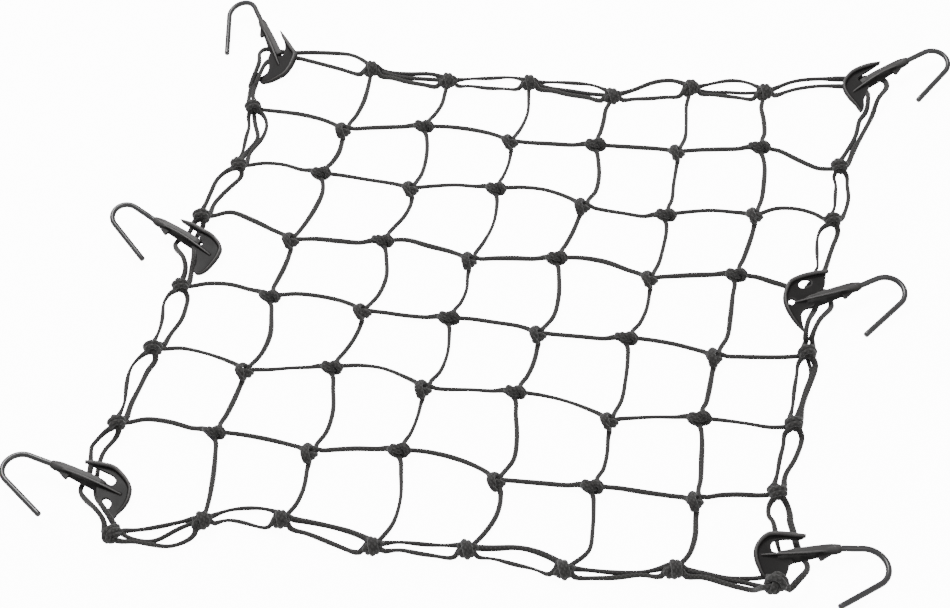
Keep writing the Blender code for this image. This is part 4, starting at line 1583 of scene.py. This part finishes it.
class Moulding:
    """One moulded piece: closed solids put together, then fused with soft corners."""

    def __init__(self) -> None:
        """Start an empty moulding, in millimetres."""
        self.body = bmesh.new()

    def loft(self, sections: list[Points]) -> None:
        """Skin a row of sections that all have the same number of points.

        Args:
            sections: Rings of points, in order along the piece.
        """
        rings = [[self.body.verts.new(point) for point in section] for section in sections]
        count = len(rings[0])
        for here, after in zip(rings, rings[1:]):
            for n in range(count):
                m = (n + 1) % count
                self.body.faces.new((here[n], here[m], after[m], after[n]))
        self.body.faces.new(rings[0][::-1])
        self.body.faces.new(rings[-1])

    def rod(self, path: list[tuple[float, float, float]], sizes: list[tuple[float, float]],
            sides: int = 16) -> None:
        """Sweep an oval section along a smooth path.

        Args:
            path: The middle of the rod.
            sizes: Half width and half height of the section at each point of the path.
            sides: Points round the section.
        """
        line = smooth_line(np.array(path, float), 6)
        spread = np.linspace(0, len(path) - 1, len(line))
        wide = np.interp(spread, range(len(path)), [size[0] for size in sizes])
        high = np.interp(spread, range(len(path)), [size[1] for size in sizes])
        along = np.gradient(line, axis=0)
        around = np.linspace(0, 2 * math.pi, sides, endpoint=False)
        sections = []
        for n, middle in enumerate(line):
            aside = np.array([-along[n][1], along[n][0], 0.0])
            aside /= np.linalg.norm(aside)
            sections.append(middle + np.outer(np.cos(around) * wide[n], aside)
                            + np.outer(np.sin(around) * high[n], (0, 0, 1)))
        self.loft(sections)

    def plate(self, outline: Points, holes: list[Points], low: float, high: float) -> None:
        """Stand a flat plate up from its outline.

        Args:
            outline: Points round the plate.
            holes: Points round each hole.
            low: Height of its underside.
            high: Height of its top.
        """
        flat = bmesh.new()
        for ring in (outline, *holes):
            corners = [flat.verts.new((x, y, low)) for x, y in ring]
            for n, corner in enumerate(corners):
                flat.edges.new((corner, corners[(n + 1) % len(corners)]))
        bmesh.ops.triangle_fill(flat, use_beauty=True, edges=flat.edges[:])
        made = bmesh.ops.extrude_face_region(flat, geom=flat.faces[:])
        top = [item for item in made["geom"] if isinstance(item, bmesh.types.BMVert)]
        bmesh.ops.translate(flat, verts=top, vec=(0, 0, high - low))
        spare = bpy.data.meshes.new("plate")
        flat.to_mesh(spare)
        flat.free()
        self.body.from_mesh(spare)
        bpy.data.meshes.remove(spare)

    def fused(self, name: str, voxel: float = 0.27, keep: float = 0.42) -> bpy.types.Mesh:
        """Fuse the solids, soften the corners and thin the mesh out.

        Args:
            name: Name of the mesh.
            voxel: Size of the fusing grid.
            keep: Share of the faces to keep.

        Returns:
            The fused mesh, still in millimetres.
        """
        bmesh.ops.recalc_face_normals(self.body, faces=self.body.faces)
        mesh = bpy.data.meshes.new(name)
        self.body.to_mesh(mesh)
        self.body.free()
        for steps in ((("REMESH", {"mode": "VOXEL", "voxel_size": voxel}),
                       ("SMOOTH", {"factor": 0.5, "iterations": 4})),
                      (("DECIMATE", {"ratio": keep}),)):
            holder = bpy.data.objects.new(name, mesh)
            bpy.context.scene.collection.objects.link(holder)
            for kind, values in steps:
                modifier = holder.modifiers.new(kind.lower(), kind)
                for title, value in values.items():
                    setattr(modifier, title, value)
            bpy.context.view_layer.update()
            graph = bpy.context.evaluated_depsgraph_get()
            mesh = bpy.data.meshes.new_from_object(holder.evaluated_get(graph))
            bpy.data.objects.remove(holder, do_unlink=True)
        return mesh


@dataclass
class Claw:
    """A moulded claw: dished plate with horn and fluke, raised rim, fin, beam and wire collar.

    All sizes are in the hook's own frame: x from the fin's tip out towards the wire, y towards
    the side on which the wire turns back, z up.
    """

    hook: HookPlace
    form: ClawForm
    plate_low: float = -1.25
    plate_high: float = 0.75
    sharp_tip: float = 0.45
    blunt_tip: float = 1.1
    # Rim: share of its length from the horn, half width, half height and height of its middle.
    rim_sections: tuple = ((0.12, 1.35, 1.6, 1.9), (0.3, 1.4, 1.9, 1.6), (0.55, 1.15, 1.9, 1.1),
                           (0.8, 0.95, 1.4, 0.5), (1, 0.7, 0.9, -0.1))
    # Beam: place along it, height of its flat top, left edge, ridge and right foot.
    beam_sections: tuple = ((9.2, 1.5, -3.2, -0.4, 3.6), (12, 2.1, -3.6, -0.4, 4.0),
                            (20, 2.6, -3.9, -0.5, 3.3), (28, 2.7, -4.0, -0.5, 2.4),
                            (36, 2.6, -3.9, -0.6, 1.6), (40, 2.5, -3.6, -0.8, 1.3))
    # Fin: share of its length from the tip, height and half width.
    fin_sections: tuple = ((0, 1.5, 0.4), (0.12, 2.2, 0.5), (0.28, 3.0, 0.5), (0.46, 3.5, 0.5),
                           (0.68, 3.7, 0.5), (0.86, 3.2, 0.45), (1, 2.3, 0.4))
    fin_end: float = 36.0
    fin_straight: float = 0.6  # share of the fin's length over which it comes in to the beam's line
    # Collar round the wire: place along it, half width and half height.
    collar: tuple = ((33, 2.4, 2.5), (38, 2.8, 2.8), (41, 2.9, 2.9), (43.8, 2.3, 2.3))
    wire_y: float = -1.3
    barb: tuple = ((30.6, 0.4), (31.0, 3.9), (32.2, 4.3), (39.5, 0.8), (39.5, 0.0))
    barb_low: float = -1.1
    barb_high: float = 0.9
    # wear_all and wear_edges give real wear on raised edges; the tops share and the two heights give a
    # painted highlight on up-facing tops above the dish.
    dish_top: float = 0.9
    ridge_height: float = 2.2
    wear_all: float = 0.02
    wear_edges: float = 2.4
    top_highlight: float = 0.5

    def outline(self) -> Points:
        """Smooth the plate's outline.

        Returns:
            Its points in plan.
        """
        ring = [*self.form.outer, *self.form.fluke, *self.form.horn]
        flat = np.array([(x, y, 0.0) for x, y in ring])
        wrapped = np.vstack([flat[-2:], flat, flat[:3]])
        return smooth_line(wrapped, 4)[8:-8][:-1, :2]

    def window(self, hole: tuple) -> Points:
        """Smooth a hole's outline.

        Args:
            hole: Points round it.

        Returns:
            Its points in plan.
        """
        flat = np.array([(x, y, 0.0) for x, y in hole])
        return smooth_line(np.vstack([flat[-1:], flat, flat[:2]]), 3)[3:-3][:-1, :2]

    def rim(self) -> tuple[list, list]:
        """Run the rim just inside the outer line.

        Returns:
            Its middle from the horn's tip to the fluke's tip, and its half width and height there.
        """
        line = resample(smooth_line(np.array([(x, y, 0.0) for x, y in self.form.outer]), 6), 2.6)
        along = np.gradient(line, axis=0)
        along /= np.linalg.norm(along, axis=1)[:, None]
        tip = self.blunt_tip if self.form.blunt else self.sharp_tip
        shares, *sizes = zip((0, tip, tip + 0.2, 2.0), *self.rim_sections)
        at = np.linspace(0, 1, len(line))
        wide, high, middle = (np.interp(at, shares, size) for size in sizes)
        inward = np.stack([along[:, 1], -along[:, 0]], axis=1)
        path = line[:, :2] + inward * wide[:, None]
        return [(*place, z) for place, z in zip(path, middle)], list(zip(wide, high))

    def beam(self, solid: Moulding) -> None:
        """Add the beam with its flat top, the sloping side below the fin and the wire's collar.

        Args:
            solid: The moulding to add to.
        """
        sections = []
        for x, top, left, ridge, right in self.beam_sections:
            sections.append(np.array([(x, left, top), (x, ridge, top), (x, ridge + 0.9, top - 0.7),
                                      (x, right, -0.9), (x, right - 0.4, -1.8), (x, -1.2, -2.4),
                                      (x, left + 0.2, -1.8), (x, left - 0.2, -0.6)]))
        solid.loft(sections)
        solid.rod([(x, self.wire_y, 0) for x, *_ in self.collar], [size for _, *size in self.collar])
        solid.rod([(40.2, self.wire_y, 1.9), (43.2, self.wire_y, 1.7)], [(1.3, 1.2), (1.0, 1.0)], 8)
        solid.plate(np.array(self.barb), [], self.barb_low, self.barb_high)

    def fin(self, solid: Moulding) -> None:
        """Add the thin fin that runs from the plate up along the beam.

        Args:
            solid: The moulding to add to.
        """
        sections, (tip_x, tip_y) = [], self.form.fin
        for share, top, half in self.fin_sections:
            x = tip_x + (self.fin_end - tip_x) * share
            y = tip_y * max(0.0, 1 - share / self.fin_straight) - 0.1
            sections.append(np.array([(x, y - half, top), (x, y + half, top),
                                      (x, y + 0.6 + half, -0.6), (x, y - 0.6 - half, -0.6)]))
        solid.loft(sections)

    def mesh(self) -> bpy.types.Mesh:
        """Put the claw together in the hook's own frame.

        Returns:
            The fused mesh in millimetres, with how worn and open each point is, and a painted highlight on
            its up-facing tops, as a stored attribute.
        """
        solid = Moulding()
        holes = [self.window(hole) for hole in self.form.holes]
        solid.plate(self.outline(), holes, self.plate_low, self.plate_high)
        solid.rod(*self.rim())
        self.beam(solid)
        self.fin(solid)
        made = solid.fused("claw")
        self.wear_and_top_light(made)
        return made

    def wear_and_top_light(self, mesh: bpy.types.Mesh) -> None:
        """Store how raised each point is: high on ridges and rims, low in the dish, with a painted
        highlight added on up-facing tops above the dish.

        Args:
            mesh: The mesh to write the attribute on.
        """
        count = len(mesh.vertices)
        place, facing = np.zeros(count * 3), np.zeros(count * 3)
        mesh.vertices.foreach_get("co", place)
        mesh.vertices.foreach_get("normal", facing)
        place, facing = place.reshape(-1, 3), facing.reshape(-1, 3)
        pairs = np.zeros(len(mesh.edges) * 2, int)
        mesh.edges.foreach_get("vertices", pairs)
        pairs = np.vstack([pairs.reshape(-1, 2), pairs.reshape(-1, 2)[:, ::-1]])
        way = place[pairs[:, 0]] - place[pairs[:, 1]]
        bend = np.sum(way * facing[pairs[:, 0]], axis=1) / np.maximum(np.linalg.norm(way, axis=1), 1e-6)
        near = np.maximum(np.bincount(pairs[:, 0], minlength=count), 1)
        raised = np.bincount(pairs[:, 0], bend, count) / near
        for _ in range(3):
            raised = 0.5 * raised + 0.5 * np.bincount(pairs[:, 0], raised[pairs[:, 1]], count) / near
        # Painted highlight: up-facing tops above the dish get paler, as if lit from above.
        height = np.clip((place[:, 2] - self.dish_top) / self.ridge_height, 0, 1)
        on_top = height * (facing[:, 2] > 0.3)
        value = np.clip(self.wear_all + raised * self.wear_edges + self.top_highlight * on_top, 0, 1)
        layer = mesh.attributes.new("edge_wear_and_top_light", "FLOAT", "POINT")
        layer.data.foreach_set("value", value)

    def build(self) -> bpy.types.Object:
        """Mould the claw, set it at its hook and dress it.

        Returns:
            The finished piece.
        """
        made = self.mesh()
        place = np.zeros(len(made.vertices) * 3)
        made.vertices.foreach_get("co", place)
        points = (self.hook.placed(place.reshape(-1, 3)) + PLAN_SHIFT) * MM
        made.vertices.foreach_set("co", points.reshape(-1))
        if self.hook.side < 0:
            made.flip_normals()
        made.shade_smooth()
        made.update()
        piece = plain_piece("moulded_claw_" + self.hook.name, made, MouldedFinish().material())
        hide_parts("claw_" + self.hook.name)
        return piece


# ---------------------------------------------------------------- the net as a whole
@dataclass
class Net:
    """All the cords and knots, as one laid sheet."""

    side: float = 0.378
    area: float = 0.057  # of the cords and knots alone, laid out flat

    def build(self) -> bpy.types.Object:
        """Tie, lay and dress every cord.

        Returns:
            The finished net.
        """
        inner, border = MeshCords(), BorderCords()
        inner.tie_knots()
        LOG.info("crossing knots tied")
        border.tie_knots()
        LOG.info("border knots tied")
        ports = {place: knot.mesh_cord for place, knot in border.knots.items()
                 if knot.mesh_cord is not None}
        fine = CordMaker(inner.radius).mesh("mesh_cords", inner.lines(ports))
        stout = CordMaker(border.radius).mesh("border_cords", border.lines())
        body = bmesh.new()
        for part in (fine, stout):
            body.from_mesh(part)
        whole = bpy.data.meshes.new("net_cords")
        body.to_mesh(whole)
        body.free()
        whole.shade_smooth()
        piece = plain_piece("net_cords", whole, CordFinish().material())
        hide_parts("net")
        return piece


# ---------------------------------------------------------------- studio
@dataclass
class Studio:
    """Plain white floor, soft light and the photograph's camera."""

    elevation: float = 45.7
    azimuth: float = 18.3
    roll: float = -7.4
    distance: float = 1.406
    lens: float = 89.96
    shift: tuple[float, float] = (-0.0289, -0.0129)
    aim: tuple[float, float, float] = (0.002246, -0.012101, 0.003)
    glow: float = 12.0
    floor_half: float = 6.0
    floor_gap: float = 0.0002
    # Lamps: name, place, size and power.
    lamps: tuple = (("key", (-0.5, 0.55, 1.7), 0.8, 38.0), ("fill", (1.2, -0.8, 1.5), 1.6, 9.0))

    def camera(self) -> None:
        """Set the camera at the photograph's angle."""
        elevation, azimuth, roll = (math.radians(a) for a in (self.elevation, self.azimuth, self.roll))
        back = Vector((math.sin(azimuth) * math.cos(elevation), -math.cos(azimuth) * math.cos(elevation),
                       math.sin(elevation)))
        right = Vector((math.cos(azimuth), math.sin(azimuth), 0))
        up = back.cross(right)
        across = right * math.cos(roll) + up * math.sin(roll)
        above = up * math.cos(roll) - right * math.sin(roll)
        data = bpy.data.cameras.new("photo_camera")
        data.lens, data.sensor_width = self.lens, 36
        data.shift_x, data.shift_y = self.shift
        camera = bpy.data.objects.new("photo_camera", data)
        turn = Matrix((across, above, back)).transposed().to_4x4()
        camera.matrix_world = Matrix.Translation(Vector(self.aim) + back * self.distance) @ turn
        bpy.context.scene.collection.objects.link(camera)
        bpy.context.scene.camera = camera

    def floor(self) -> None:
        """Lay a plain white floor."""
        body = bmesh.new()
        bmesh.ops.create_grid(body, x_segments=2, y_segments=2, size=self.floor_half)
        mesh = bpy.data.meshes.new("floor")
        body.to_mesh(mesh)
        body.free()
        made = bpy.data.materials.new("plain_floor")
        made.use_nodes = True
        nodes, links = made.node_tree.nodes, made.node_tree.links
        shader = nodes["Principled BSDF"]
        shader.inputs["Base Color"].default_value = (0.93, 0.93, 0.93, 1)
        shader.inputs["Roughness"].default_value = 0.9
        shader.inputs["Specular IOR Level"].default_value = 0.1
        shader.inputs["Emission Color"].default_value = (1, 1, 1, 1)
        seen = nodes.new("ShaderNodeLightPath")
        glow = nodes.new("ShaderNodeMath")
        glow.operation = "MULTIPLY"
        links.new(seen.outputs["Is Camera Ray"], glow.inputs[0])
        glow.inputs[1].default_value = self.glow
        links.new(glow.outputs[0], shader.inputs["Emission Strength"])
        mesh.materials.append(made)
        piece = bpy.data.objects.new("floor", mesh)
        piece.location.z = -self.floor_gap
        bpy.context.scene.collection.objects.link(piece)

    def lights(self) -> None:
        """Hang broad soft lights and a bright even surround."""
        world = bpy.data.worlds.new("studio")
        bpy.context.scene.world = world
        world.use_nodes = True
        world.node_tree.nodes["Background"].inputs["Color"].default_value = (1, 1, 1, 1)
        world.node_tree.nodes["Background"].inputs["Strength"].default_value = 0.55
        for name, place, size, power in self.lamps:
            data = bpy.data.lights.new(name, "AREA")
            data.size, data.energy = size, power
            lamp = bpy.data.objects.new(name, data)
            lamp.location = place
            lamp.rotation_euler = (-Vector(place)).to_track_quat("-Z", "Y").to_euler()
            bpy.context.scene.collection.objects.link(lamp)

    def build(self) -> None:
        """Set up camera, floor and lights."""
        self.camera()
        self.floor()
        self.lights()


def main() -> None:
    """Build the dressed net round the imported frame."""
    logging.basicConfig(level=logging.INFO, format="%(message)s")
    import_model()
    Studio().build()
    Net().build()
    for name, hook in HOOKS.items():
        HookWire(hook, WIRE_BENDS[name]).build()
    for name, hook in HOOKS.items():
        Claw(hook, CLAW_FORMS[name]).build()


if __name__ == "__main__":
    main()
